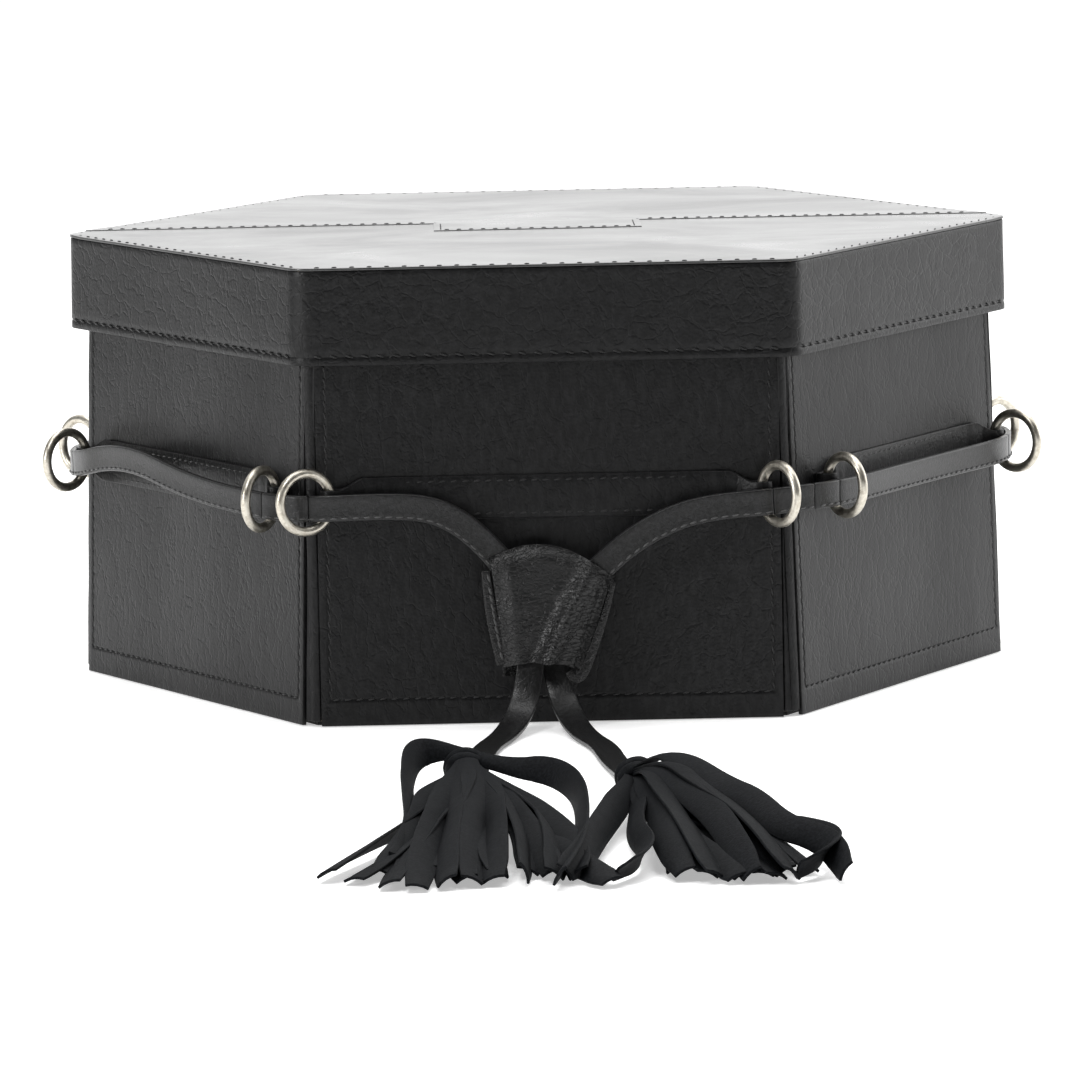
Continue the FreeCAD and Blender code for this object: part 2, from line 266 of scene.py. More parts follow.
def lamp(name, place, target, size, power):
    """A soft square lamp that points at a target."""
    bpy.ops.object.light_add(type="AREA", location=place)
    light = bpy.context.object
    light.name = name
    light.data.size = size
    light.data.energy = power
    light.rotation_euler = (Vector(target) - Vector(place)).to_track_quat("-Z", "Y").to_euler()
    return light


middle = Vector((0, 0, 0.1))
lamp("overhead_lamp", (0.2, 0.5, 2.6), middle, 2.4, 60)
lamp("right_lamp", (2.6, 0.9, 1.0), middle, 1.4, 16)
lamp("key_lamp", (-0.8, -1.5, 2.2), middle, 0.6, 22)
lamp("left_lamp", (-2.4, -1.45, 0.75), middle, 0.55, 30)
bpy.context.scene.view_settings.view_transform = "Standard"
print("lamps ready")

# %% [markdown]
# ## Small tools
#
# Most pieces go the same way: shape a sheet, give it a thickness, round its cut edges, and hand it
# to the body it moves with. These helpers do those steps, so each piece below reads as its own
# shape and nothing else.

# %% Tools for every piece


def only(obj):
    """Make this the one selected and active object."""
    bpy.ops.object.select_all(action="DESELECT")
    obj.select_set(True)
    bpy.context.view_layer.objects.active = obj


def apply_modifier(obj, kind, **settings):
    """Add a modifier with these settings and apply it."""
    only(obj)
    step = obj.modifiers.new(kind.lower(), kind)
    for key, value in settings.items():
        setattr(step, key, value)
    bpy.ops.object.modifier_apply(modifier=step.name)


def settle(obj):
    """Put an object's place into its mesh."""
    only(obj)
    bpy.ops.object.transform_apply(location=True, rotation=True, scale=True)


def turn_faces_out(obj):
    """Make all faces of the mesh look outward."""
    only(obj)
    bpy.ops.object.mode_set(mode="EDIT")
    bpy.ops.mesh.select_all(action="SELECT")
    bpy.ops.mesh.normals_make_consistent(inside=False)
    bpy.ops.object.mode_set(mode="OBJECT")


def copy_of(mesh, name):
    """A new object with its own copy of a mesh."""
    obj = bpy.data.objects.new(name, mesh.copy())
    bpy.context.collection.objects.link(obj)
    return obj


def press(obj, shape):
    """Move every corner of the mesh to where shape says."""
    for vertex in obj.data.vertices:
        vertex.co = shape(vertex.co)


def cut_lines(obj, cuts):
    """Cut the whole mesh along planes, each given as a point and a normal."""
    only(obj)
    bpy.ops.object.mode_set(mode="EDIT")
    for place, normal in cuts:
        bpy.ops.mesh.select_all(action="SELECT")
        bpy.ops.mesh.bisect(plane_co=place, plane_no=normal)
    bpy.ops.object.mode_set(mode="OBJECT")


def thicken(obj, thickness, side=-1.0, edge=0.4 * mm, steps=2):
    """Give a sheet its thickness, its cut edge the second material, and round the edge."""
    apply_modifier(obj, "SOLIDIFY", thickness=thickness, offset=side, material_offset_rim=1,
                   use_quality_normals=True)
    if edge:
        apply_modifier(obj, "BEVEL", width=edge, segments=steps, limit_method="ANGLE",
                       angle_limit=math.radians(50), loop_slide=False)


def dress(obj, name, materials, smooth=42):
    """Name a piece, give it its materials, and smooth it."""
    obj.name = name
    obj.data.name = name
    obj.data.materials.clear()
    for material in materials:
        obj.data.materials.append(material)
    only(obj)
    bpy.ops.object.shade_smooth_by_angle(angle=math.radians(smooth))
    return obj


def join(objects):
    """Join objects into the first of them."""
    bpy.ops.object.select_all(action="DESELECT")
    for obj in objects:
        obj.select_set(True)
    bpy.context.view_layer.objects.active = objects[0]
    bpy.ops.object.join()
    return objects[0]


def line_of(route):
    """The smooth line that a route's points guide, read back as points close together."""
    curve = bpy.data.curves.new("line", "CURVE")
    curve.dimensions = "3D"
    curve.resolution_u = 10
    spline = curve.splines.new("NURBS")
    spline.points.add(len(route) - 1)
    for point, place in zip(spline.points, route):
        point.co = (*place, 1)
    spline.order_u = 3
    spline.use_endpoint_u = True
    holder = bpy.data.objects.new("line", curve)
    sampled = bpy.data.meshes.new_from_object(holder)
    points = [vertex.co.copy() for vertex in sampled.vertices]
    bpy.data.objects.remove(holder)
    return points


def length_of(points):
    """The length of a line along its points."""
    return sum((b - a).length for a, b in zip(points, points[1:]))


def directions(points):
    """The way ahead at each point of a line."""
    before = [points[0]] + points[:-1]
    after = points[1:] + [points[-1]]
    return [(b - a).normalized() for a, b in zip(before, after)]


def ribbon(name, points, acrosses, widths, thickness, crown=0.0, edge=0.5 * mm):
    """A flat strap along a line: at each point its own across direction and width."""
    shares = (-1, -0.5, 0, 0.5, 1)
    ahead = directions(points)
    corners = []
    for place, way, across, width in zip(points, ahead, acrosses, widths):
        face = way.cross(across)
        for share in shares:
            corners.append(place + across * (share * width / 2) + face * (crown * (1 - share * share)))
    faces = []
    row = len(shares)
    for step in range(len(points) - 1):
        for column in range(row - 1):
            first = step * row + column
            faces.append((first, first + 1, first + row + 1, first + row))
    sheet = bpy.data.meshes.new(name)
    sheet.from_pydata(corners, [], faces)
    obj = bpy.data.objects.new(name, sheet)
    bpy.context.collection.objects.link(obj)
    thicken(obj, thickness, 0.0, edge, 3)
    return obj


def smoothstep(value):
    """From 0 to 1 with a soft start and end, and flat outside that range."""
    share = min(1.0, max(0.0, value))
    return share * share * (3 - 2 * share)


print("tools ready")

# %% [markdown]
# ## Finishes
#
# Black leather is one recipe with different settings: small pebbles from a Voronoi pattern, fine
# crease lines where cells meet, and a slow noise that makes some places glossier than others. All
# of it goes into bump and roughness, because the colour itself hardly changes.

# %% Leather and other finishes


def leather(name, colour, worn, roughness, specular, pebble, relief, crease=(1, 1, 1), crease_size=140,
            crease_depth=0.5, streak=0.5):
    """Black leather. pebble is the grain's cells per metre, relief the bump's height in metres."""
    material, tree, shader = start_material(name, colour, roughness, specular)
    place = on_object(tree)
    stretched = node(tree, "ShaderNodeMapping", Scale=crease, Vector=place).outputs["Vector"]
    wander = node(tree, "ShaderNodeTexNoise", Scale=34.0, Detail=5.0, Roughness=0.6, Vector=place)
    bend = node(tree, "ShaderNodeMixRGB", blend_type="LINEAR_LIGHT", Fac=0.012, Color1=stretched,
                Color2=wander.outputs["Color"])
    grain = node(tree, "ShaderNodeTexVoronoi", Scale=float(pebble), feature="F1", Randomness=1.0,
                 Vector=place)
    fold = node(tree, "ShaderNodeTexVoronoi", Scale=float(crease_size), feature="DISTANCE_TO_EDGE",
                Randomness=1.0, Vector=bend.outputs[0])
    fold_line = ranged(tree, fold.outputs["Distance"], (0, 0.09), (0, 1), "SMOOTHSTEP")
    fine = node(tree, "ShaderNodeTexNoise", Scale=float(pebble) * 0.55, Detail=4.0, Roughness=0.7,
                Vector=stretched)
    bump = bumped(tree, grain.outputs["Distance"], relief, 0.8)
    bump = bumped(tree, fine.outputs[0], relief * 1.4, 0.7, bump)
    bump = bumped(tree, fold_line, relief * 1.6, crease_depth, bump)
    tree.links.new(bump, shader.inputs["Normal"])
    cloud = node(tree, "ShaderNodeTexNoise", Scale=9.0, Detail=6.0, Roughness=0.65, Distortion=0.6,
                 Vector=stretched)
    gloss = ranged(tree, cloud.outputs[0], (0.3, 0.7),
                   (roughness - 0.12 * streak, roughness + 0.16 * streak))
    tree.links.new(gloss, shader.inputs["Roughness"])
    tint = two_tone(tree, fine.outputs[0], colour, worn, (0.42, 0.78))
    tree.links.new(tint, shader.inputs["Base Color"])
    return material


black, scuffed = (0.0040, 0.0040, 0.0042), (0.013, 0.013, 0.0135)
wall_leather_finish = leather("wall_leather", black, scuffed, 0.40, 0.19, 760, 0.00008,
                              (1.0, 1.0, 0.35), 150, 0.55)
lid_leather_finish = leather("lid_leather", black, scuffed, 0.38, 0.20, 700, 0.00008,
                             (1.0, 1.0, 1.0), 120, 0.6)
lid_top_finish = leather("lid_top_leather", (0.012, 0.012, 0.012), (0.03, 0.03, 0.03), 0.30, 0.62, 520,
                         0.000014, (1.0, 1.6, 1.0), 70, 0.3, 0.4)
strap_leather_finish = leather("strap_leather", (0.006, 0.006, 0.006), (0.024, 0.024, 0.025), 0.32, 0.30,
                               1200, 0.00005, (1, 1, 1), 300, 0.4)
keeper_leather_finish = leather("keeper_leather", black, (0.016, 0.016, 0.016), 0.27, 0.34, 900, 0.00017,
                                (1, 1, 2.5), 240, 0.7)
gusset_leather_finish = leather("gusset_leather", (0.006, 0.006, 0.006), (0.014, 0.013, 0.014), 0.55, 0.3,
                                900, 0.00007)
tassel_finish = leather("tassel_suede", (0.0035, 0.004, 0.0048), (0.012, 0.013, 0.015), 0.7, 0.07, 1500,
                        0.00005, (1, 1, 1), 90, 0.25)
raw_edge = leather("raw_edge", (0.016, 0.010, 0.009), (0.060, 0.036, 0.030), 0.70, 0.25, 1400, 0.00012,
                   (1, 1, 1), 400, 0.6)


def thread_finish(name, grey):
    """Waxed thread: a fine twist across it catches the light."""
    material, tree, shader = start_material(name, (grey, grey, grey), 0.36, 0.35)
    twist = node(tree, "ShaderNodeTexWave", Scale=900.0, Distortion=1.5, bands_direction="DIAGONAL",
                 Vector=on_object(tree))
    tree.links.new(bumped(tree, twist.outputs[1], 0.0001, 0.7), shader.inputs["Normal"])
    return material


def metal_finish():
    """Satin nickel, a little warm, with fine rubbing marks and duller patches."""
    material, tree, shader = start_material("satin_nickel", (0.66, 0.63, 0.56), 0.27, 0.5)
    shader.inputs["Metallic"].default_value = 1.0
    rub = node(tree, "ShaderNodeTexNoise", Scale=420.0, Detail=6.0, Roughness=0.7,
               Vector=on_object(tree)).outputs[0]
    tint = two_tone(tree, rub, (0.30, 0.26, 0.20), (0.58, 0.55, 0.48), (0.25, 0.55))
    tree.links.new(ranged(tree, rub, (0, 1), (0.24, 0.50)), shader.inputs["Roughness"])
    tree.links.new(tint, shader.inputs["Base Color"])
    tree.links.new(bumped(tree, rub, 0.00003, 0.5), shader.inputs["Normal"])
    return material


def board_finish():
    """Grey-brown pressed board with short fibres."""
    material, tree, shader = start_material("pressed_board", (0.16, 0.12, 0.08), 0.85, 0.2)
    fibre = node(tree, "ShaderNodeTexNoise", Scale=500.0, Detail=8.0, Roughness=0.75,
                 Vector=on_object(tree)).outputs[0]
    tint = two_tone(tree, fibre, (0.10, 0.075, 0.05), (0.24, 0.19, 0.13))
    tree.links.new(tint, shader.inputs["Base Color"])
    tree.links.new(bumped(tree, fibre, 0.0002, 0.6), shader.inputs["Normal"])
    return material


def lining_finish():
    """Black woven lining cloth: two crossed sets of threads."""
    material, tree, shader = start_material("lining_cloth", (0.012, 0.012, 0.013), 0.75, 0.3)
    shader.inputs["Sheen Weight"].default_value = 0.25
    place = on_object(tree)
    warp, weft = [node(tree, "ShaderNodeTexWave", Scale=260.0, Distortion=0.4, bands_direction=way,
                       Vector=place).outputs[1] for way in ("X", "Z")]
    weave = combined(tree, "MAXIMUM", warp, weft)
    tint = two_tone(tree, weave, (0.008, 0.008, 0.009), (0.03, 0.03, 0.032))
    tree.links.new(tint, shader.inputs["Base Color"])
    tree.links.new(bumped(tree, weave, 0.0003, 0.7), shader.inputs["Normal"])
    return material


thread = thread_finish("black_thread", 0.010)
pale_thread = thread_finish("pale_thread", 0.055)
satin_nickel = metal_finish()
pressed_board = board_finish()
lining_cloth = lining_finish()
print("finishes ready")

# %% [markdown]
# ## The strap's two tails
#
# The drawstring is one flat strap, 11 mm wide. Its two ends come out of the keeper, cross, bend
# down to the floor and run along it to the tassels. Each is a free cord of a real length, so it
# follows one smooth line: the route's points guide a NURBS spline, and the strap's faces are laid
# along points read back from that spline.

# %% Tails
tail_left_route = [
    (-9.0, 13.5, 46.0), (-8.6, 14.3, 34.0), (-9.4, 16.5, 23.0), (-12.2, 22.0, 11.5),
    (-16.5, 32.5, 4.6), (-21.5, 48.5, 1.7), (-28.5, 73.5, 1.5), (-32.0, 108.5, 1.7),
    (-36.5, 138.5, 4.4), (-37.0, 156.5, 9.0),
]
tail_right_route = [
    (3.0, 9.7, 46.0), (1.6, 10.5, 34.0), (1.2, 12.7, 23.0), (4.2, 19.0, 11.8),
    (8.0, 31.0, 4.8), (12.5, 49.5, 1.7), (19.5, 76.5, 1.5), (22.0, 112.5, 1.6),
    (27.0, 147.5, 1.8), (27.6, 172.5, 4.6), (28.5, 188.5, 9.0),
]
strap_crown, strap_edge = 0.25 * mm, 0.7 * mm


def lay_strap(name, points, acrosses):
    """A stretch of the strap at its full width along a line."""
    obj = ribbon(name, points, acrosses, [strap_width] * len(points), strap_thick, strap_crown, strap_edge)
    return dress(obj, name, [strap_leather_finish])


def tail(side, points):
    """One free end of the drawstring, level from side to side all the way."""
    acrosses = [(Vector((1, 0, 0)) - way * way.x).normalized() for way in directions(points)]
    obj = lay_strap("strap_tail_" + side, points, acrosses)
    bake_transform(obj)
    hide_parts("tail_" + side)
    print("tail", side, "is", round(length_of(points), 4), "long")
    return obj


tails, tail_lines = {}, {}
for side, route in (("left", tail_left_route), ("right", tail_right_route)):
    tail_lines[side] = line_of([in_front(*point) for point in route])
    tails[side] = tail(side, tail_lines[side])

# %% [markdown]
# ## The belt of strap round the box
#
# The same strap comes up from the keeper to the front panel's left ring, goes round the box, and
# comes back through the front panel's right ring. The panels can fall open, so it is made in
# stretches: each half corner is left where it lies, and the stretch between a panel's own rings
# stays with that panel.

# %% The belt's line
strap_out = 12.5 * mm
rest_up = band_up - 3.0 * mm
left_run = [(-66.0, 92.6), (-48.0, 91.0), (-34.5, 83.5), (-23.0, 72.0), (-14.0, 60.0)]
right_run = [(64.0, 89.2), (46.5, 83.5), (31.5, 74.5), (19.5, 64.0), (10.5, 56.5)]
slack_places = (0.68, 0.34)
left_rise = {0.68: 3 * mm, 0.34: 12 * mm}
left_bow = 7 * mm
slack_drop = 0.5 * mm
above_tail = 6.6 * mm


def ring_middle(index, right):
    """Where a ring hangs: its middle in the panel's frame, along and out."""
    place, swing = loop_place(panel_names[index], right)
    return place + ring_radius * math.sin(swing), loop_out + ring_radius * math.cos(swing)


def strap_at_ring(index, right):
    """Where the strap passes through a ring."""
    along, out = ring_middle(index, right)
    return panel_point(index, along, out, rest_up)


def face_out(place):
    """The way that the strap's wide face looks at a place on its way round the box."""
    turn = math.atan2(place.x, -place.y) / sixth
    panel = round(turn)
    past = turn - panel
    lead = 0.5 * smoothstep((abs(past) - 0.36) / 0.14)
    angle = (panel + math.copysign(lead, past)) * sixth
    return Vector((math.sin(angle), -math.cos(angle), 0))


def strap_across(points, start):
    """Across directions that keep the strap's wide face looking away from the box."""
    acrosses = []
    last = start
    for place, way in zip(points, directions(points)):
        across = face_out(place).cross(way).normalized()
        if across.dot(last) < 0:
            across = -across
        acrosses.append(across)
        last = across
    return acrosses


def from_keeper(route):
    """The top of a tail, and the belt's first point beyond it."""
    top, below = [in_front(*point) for point in route[:2]]
    return top, top + (top - below).normalized() * above_tail


def front_run(run):
    """Points on the front panel, given by x and height in millimetres."""
    return [panel_point(0, x * mm, strap_out, z * mm) for x, z in run]


def whole_belt_route():
    """The belt's route: up from the left tail, round the box by its rings, down to the right tail."""
    left_top, left_lead = from_keeper(tail_left_route)
    right_top, right_lead = from_keeper(tail_right_route)
    points = [left_top, left_lead, *front_run(reversed(left_run)), strap_at_ring(0, False)]
    for index in (5, 4, 3, 2, 1):
        arched = panel_names[index] == "left_front"
        left_along, right_along = ring_middle(index, False)[0], ring_middle(index, True)[0]
        points.append(strap_at_ring(index, True))
        for share in slack_places:
            along = left_along + share * (right_along - left_along)
            out = strap_out + (left_bow if arched else 0.0)
            rise = left_rise[share] if arched else 0.0
            points.append(panel_point(index, along, out, rest_up - slack_drop + rise))
        points.append(strap_at_ring(index, False))
    return [*points, strap_at_ring(0, True), *front_run(right_run), right_lead, right_top]


belt_line = line_of(whole_belt_route())
belt_across = strap_across(belt_line, Vector((1, 0, 0)))
print("belt is", round(length_of(belt_line), 4), "long in", len(belt_line), "points")


def nearest(place):
    """Number of the belt point nearest to a place."""
    return min(range(len(belt_line)), key=lambda number: (belt_line[number] - place).length)


def corner_place(corner):
    """The middle of the belt's straight stretch across a corner between two panels."""
    return (strap_at_ring(corner, True) + strap_at_ring((corner + 1) % 6, False)) / 2


# %% The belt's pieces
belt_pieces = []


def hold(obj, bodies, span):
    """Let a piece ride with its one body; a piece with a span is left where it lies."""
    if span:
        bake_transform(obj)
    else:
        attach(obj, *bodies)


def belt_piece(label, ends, bodies, span=None):
    """The belt between two of its points. span holds two of the belt's points; a piece with a span is left
    where it lies instead of riding with a body.
    """
    first, last = sorted(ends)
    obj = lay_strap("strap_" + label, belt_line[first:last + 1], belt_across[first:last + 1])
    hold(obj, bodies, span)
    belt_pieces.append((obj, first, last, bodies, span))


ring_marks = {}
for index in range(6):
    for right in (False, True):
        ring_marks[index, right] = nearest(strap_at_ring(index, right))
corner_marks = {corner: nearest(corner_place(corner)) for corner in range(6)}

keeper_mouth_top = 60 * mm
above_keeper = [number for number, place in enumerate(belt_line) if place.z > keeper_mouth_top]
left_ring, right_ring = ring_marks[0, False], ring_marks[0, True]
belt_piece("front_run_left", (0, left_ring), ("panel_front", "keeper_body"), (left_ring, above_keeper[0]))
belt_piece("front_run_right", (right_ring, len(belt_line) - 1), ("panel_front", "keeper_body"),
           (right_ring, above_keeper[-1]))
for index, label in enumerate(panel_names):
    body = "panel_" + label
    left_ring, right_ring = ring_marks[index, False], ring_marks[index, True]
    left_corner, right_corner = corner_marks[(index - 1) % 6], corner_marks[index]
    if index:
        belt_piece(label, (right_ring, left_ring), (body,))
    belt_piece(label + "_right_end", (right_corner, right_ring), ("base", body), (right_corner, right_ring))
    belt_piece(label + "_left_end", (left_corner, left_ring), ("base", body), (left_corner, left_ring))
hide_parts("drawstring_belt")
print("belt pieces", len(belt_pieces))

# %% [markdown]
# ## One stitch, copied many times
#
# A stitch is a short piece of waxed thread that dips into its holes at both ends. It is modelled
# once, as a small sphere drawn out long, and every row of sewing is copies of it joined together.

# %% The stitch and its rows
bpy.ops.mesh.primitive_uv_sphere_add(segments=8, ring_count=6, radius=0.5 * mm)
stitch_model = bpy.context.object
stitch_model.rotation_euler = (0, math.pi / 2, 0)
stitch_model.scale = (1, 1, 3.6)
settle(stitch_model)
stitch_mesh = stitch_model.data
bpy.data.objects.remove(stitch_model)


def stitch_frame(place, way, face, slant=0.0, size=1.0):
    """A stitch's matrix: it lies along way, on a surface that looks along face."""
    face = face.normalized()
    way = (way - face * way.dot(face)).normalized()
    across = face.cross(way)
    turned = way * math.cos(slant) + across * math.sin(slant)
    matrix = Matrix((turned, face.cross(turned), face)).transposed().to_4x4()
    return Matrix.Translation(place) @ matrix @ Matrix.Scale(size, 4)


def row_between(start, end, face, pitch, slant=0.12, size=1.0):
    """Stitch matrices in a straight row."""
    run = end - start
    count = max(1, round(run.length / pitch))
    return [stitch_frame(start + run * ((number + 0.5) / count), run, face, slant, size)
            for number in range(count)]


def sew(name, places, finish=None):
    """Copies of the stitch at these places, joined into one piece."""
    copies = []
    for place in places:
        copy = copy_of(stitch_mesh, name)
        copy.data.transform(place)
        copies.append(copy)
    obj = join(copies)
    obj.name = name
    obj.data.name = name
    obj.data.materials.append(finish or thread)
    only(obj)
    bpy.ops.object.shade_smooth()
    return obj


def sew_on(name, places, body, finish=None):
    """A piece of sewing that goes with one body."""
    sewing = sew(name, places, finish)
    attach(sewing, body)


panel_pitch, lid_pitch, strap_pitch = 4.8 * mm, 6.4 * mm, 4.6 * mm
print("stitch has", len(stitch_mesh.polygons), "faces")

# %% Stitches along the strap's lower edge


def strap_row(points, acrosses, share, pitch, lift):
    """A row along a strap, at a share of its half width, standing proud of its outer face."""
    places = []
    travelled = pitch / 2
    for place, ahead, across in zip(points, points[1:], acrosses):
        run = ahead - place
        while travelled < run.length:
            way = run.normalized()
            face = across.cross(way).normalized()
            if face.dot(face_out(place)) < 0:
                face = -face
            down = across if across.z < 0 or (abs(across.z) < 0.2 and across.x < 0) else -across
            spot = place + way * travelled + down * (share * strap_width / 2) + face * lift
            places.append(stitch_frame(spot, way, face, 0.1, 0.85))
            travelled += pitch
        travelled -= run.length
    return places


for obj, first, last, bodies, span in belt_pieces:
    places = strap_row(belt_line[first:last + 1], belt_across[first:last + 1], 0.74, strap_pitch,
                       strap_thick / 2 + 0.1 * mm)
    if places:
        row = sew(obj.name + "_stitches", places, pale_thread)
        hold(row, bodies, span)

# %% [markdown]
# ## Wall panels
#
# Each panel is a leather face sewn over a board. The sheet is a fine grid, cut along the lines of
# its sewing so that a narrow groove can be pressed there. It swells a little over the board, and
# no two panels swell alike.

# %% One flat sheet, cut for its sewing
sew_side, sew_foot, groove = 4 * mm, 11 * mm, 0.9 * mm
bpy.ops.mesh.primitive_grid_add(x_subdivisions=84, y_subdivisions=80, size=1)
panel_sheet = bpy.context.object
panel_sheet.scale = (panel_half * 2, panel_height, 1)
panel_sheet.rotation_euler = (math.pi / 2, 0, 0)
panel_sheet.location = (0, 0, panel_height / 2)
settle(panel_sheet)
cuts = []
for shift in (-groove, 0.0, groove):
    cuts.append(((panel_half - sew_side + shift, 0, 0), (1, 0, 0)))
    cuts.append(((sew_side - panel_half + shift, 0, 0), (1, 0, 0)))
    cuts.append(((0, 0, sew_foot + shift), (0, 0, 1)))
cut_lines(panel_sheet, cuts)


def on_sewing(co):
    """True on the middle line of a panel's sewing."""
    side = abs(abs(co.x) - (panel_half - sew_side)) < 0.05 * mm and co.z > sew_foot - 0.05 * mm
    foot = abs(co.z - sew_foot) < 0.05 * mm and abs(co.x) < panel_half - sew_side + 0.05 * mm
    return side or foot


def swell(along, up, seed):
    """How far a panel's face stands out from flat."""
    across = math.cos(along / panel_half * math.pi / 2)
    rise = math.sin(min(1.0, up / panel_height) * math.pi)
    wave = noise.noise(Vector((along * 14, up * 9, seed * 7.3)))
    small = noise.noise(Vector((along * 60, up * 45, seed * 3.1)))
    return 0.5 * mm * across * rise + 0.35 * mm * wave * across + 0.06 * mm * small


sew_edge, sew_top = panel_half - sew_side, panel_height - 6 * mm
wall_rows = [((-sew_edge, sew_top), (-sew_edge, sew_foot)), ((sew_edge, sew_foot), (sew_edge, sew_top)),
             ((-sew_edge, sew_foot), (sew_edge, sew_foot))]
groove_depth, stitch_sunk = 0.4 * mm, 0.15 * mm


def wall_face(index, name):
    """A panel's leather, swollen over its board and pressed in along its sewing."""
    sheet = copy_of(panel_sheet.data, name)
    press(sheet, lambda co: Vector((co.x, co.y - swell(co.x, co.z, index)
                                    + (groove_depth if on_sewing(co) else 0.0), co.z)))
    thicken(sheet, wall_leather)
    sheet.data.transform(panel_frame(index))
    dress(sheet, name + "_wall_leather", [wall_leather_finish, raw_edge])
    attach(sheet, "panel_" + name)
    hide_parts(name + "_panel_leather")


def wall_sewing(index, name):
    """Stitches that follow the swell, down both sides of a panel and along its foot."""
    places = []
    for start, end in wall_rows:
        for place in row_between(Vector((start[0], stitch_sunk, start[1])),
                                 Vector((end[0], stitch_sunk, end[1])), front_way, panel_pitch, 0.2, 0.85):
            out = swell(place.translation.x, place.translation.z, index)
            places.append(panel_frame(index) @ Matrix.Translation((0, -out, 0)) @ place)
    sew_on(name + "_wall_stitches", places, "panel_" + name)


def edge_fold(index, name, side):
    """The folded strip beside a panel, where its leather turns in. side is -1 at the left."""
    points = []
    for step in range(38):
        up = (2 + step * 4.9) * mm
        sway = 0.35 * mm * noise.noise(Vector((side * 3.0, index * 5.0, up * 30)))
        points.append(Vector((side * (panel_half + 2.0 * mm + sway), 2.6 * mm - sway, up)))
    across = Vector((side, 0.35, 0)).normalized()
    fold = ribbon(name, points, [across] * len(points), [4.2 * mm] * len(points), 2.4 * mm, 0.5 * mm,
                  0.7 * mm)
    fold.data.transform(panel_frame(index))
    dress(fold, name + ("_edge_fold_left" if side < 0 else "_edge_fold_right"),
          [wall_leather_finish, raw_edge])
    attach(fold, "panel_" + name)


for index, name in enumerate(panel_names):
    wall_face(index, name)
    wall_sewing(index, name)
    edge_fold(index, name, -1)
    edge_fold(index, name, 1)
bpy.data.objects.remove(panel_sheet)
print("panels dressed")

# %% [markdown]
# ## Corner gussets
#
# Between two panels a strip of thin leather folds inward, so the panels can fall open like petals.
# Each gusset is two leaves that meet on the fold. Both leaves are left where they lie, tied to no
# body.

# %% Two leaves in every corner
gusset_leather = 1.0 * mm
gusset_foot, gusset_top = 7.2 * mm, panel_top - 3 * mm
board_half = panel_half - 4 * mm


def gusset_ends(height):
    """At one height, in the frame of the corner on +X: the fold, and a leaf's outer edge."""
    reach = apothem - height * math.tan(lean)
    end_in = wall_leather + 1.5 * mm
    end_x = (reach - end_in) * math.cos(sixth / 2) + board_half * math.sin(sixth / 2)
    side = (reach - wall) * math.sin(sixth / 2) - board_half * math.cos(sixth / 2) - 0.3 * mm
    depth = (10 + 18 * (height - gusset_foot) / (gusset_top - gusset_foot)) * mm
    return end_x - depth, end_x, side


for corner, name in enumerate(corner_names):
    for side, panel in ((-1, corner), (1, (corner + 1) % 6)):
        bpy.ops.mesh.primitive_grid_add(x_subdivisions=14, y_subdivisions=48, size=1)
        leaf = bpy.context.object
        turn = Matrix.Rotation(sixth * (corner - 1), 4, "Z")

        def fold_in(co):
            share, rise = co.x + 0.5, co.y + 0.5
            height = gusset_foot + rise * (gusset_top - gusset_foot)
            fold, edge, half = gusset_ends(height)
            sag = 0.5 * mm * math.sin(math.pi * share)
            sag += 0.3 * mm * noise.noise(Vector((share * 3, rise * 6, corner)))
            across = half * share * side + (0.5 * mm + sag * math.sin(math.pi * share)) * side
            return turn @ Vector((fold + (edge - fold) * share, across, height))

        press(leaf, fold_in)
        turn_faces_out(leaf)
        thicken(leaf, gusset_leather, 0.0, 0.25 * mm)
        label = "gusset_" + name + ("_left_leaf" if side < 0 else "_right_leaf")
        dress(leaf, label, [gusset_leather_finish, raw_edge])
        low = gusset_ends(0.1)
        body = "panel_" + panel_names[panel]
        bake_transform(leaf)
        if side < 0:
            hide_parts("gusset_" + name)
print("gussets folded")

# %% [markdown]
# ## Bands and rings
#
# A band is sewn across each panel, and both its ends are folded round a ring and tucked back under.
# The fold is narrower than the band, so the ring can swing in it.

# %% Bands with folded loops
band_wide, band_narrow, band_thick = 18 * mm, 9 * mm, 1.6 * mm
fold_radius = 3.75 * mm


def band_line(left, right):
    """The band's middle line seen from above, along and out: tuck, loop, flat, loop, tuck."""
    def one_end(place, sign):
        tuck = [(place - sign * 15 * mm, 0.9 * mm), (place - sign * 6 * mm, 0.9 * mm)]
        turn = []
        for step in range(11):
            angle = math.radians(-90 + step * 21)
            turn.append((place + sign * fold_radius * math.cos(angle),
                         loop_out + fold_radius * math.sin(angle)))
        lie = [(place - sign * 7.5 * mm, 4.6 * mm), (place - sign * 11 * mm, 3.0 * mm),
               (place - sign * 17 * mm, 2.6 * mm), (place - sign * 22 * mm, 1.4 * mm)]
        return tuck + turn + lie
    lefts = one_end(left, -1)
    rights = one_end(right, 1)
    return lefts + [(left * 0.4, 1.0 * mm), (right * 0.4, 1.0 * mm)] + rights[::-1]


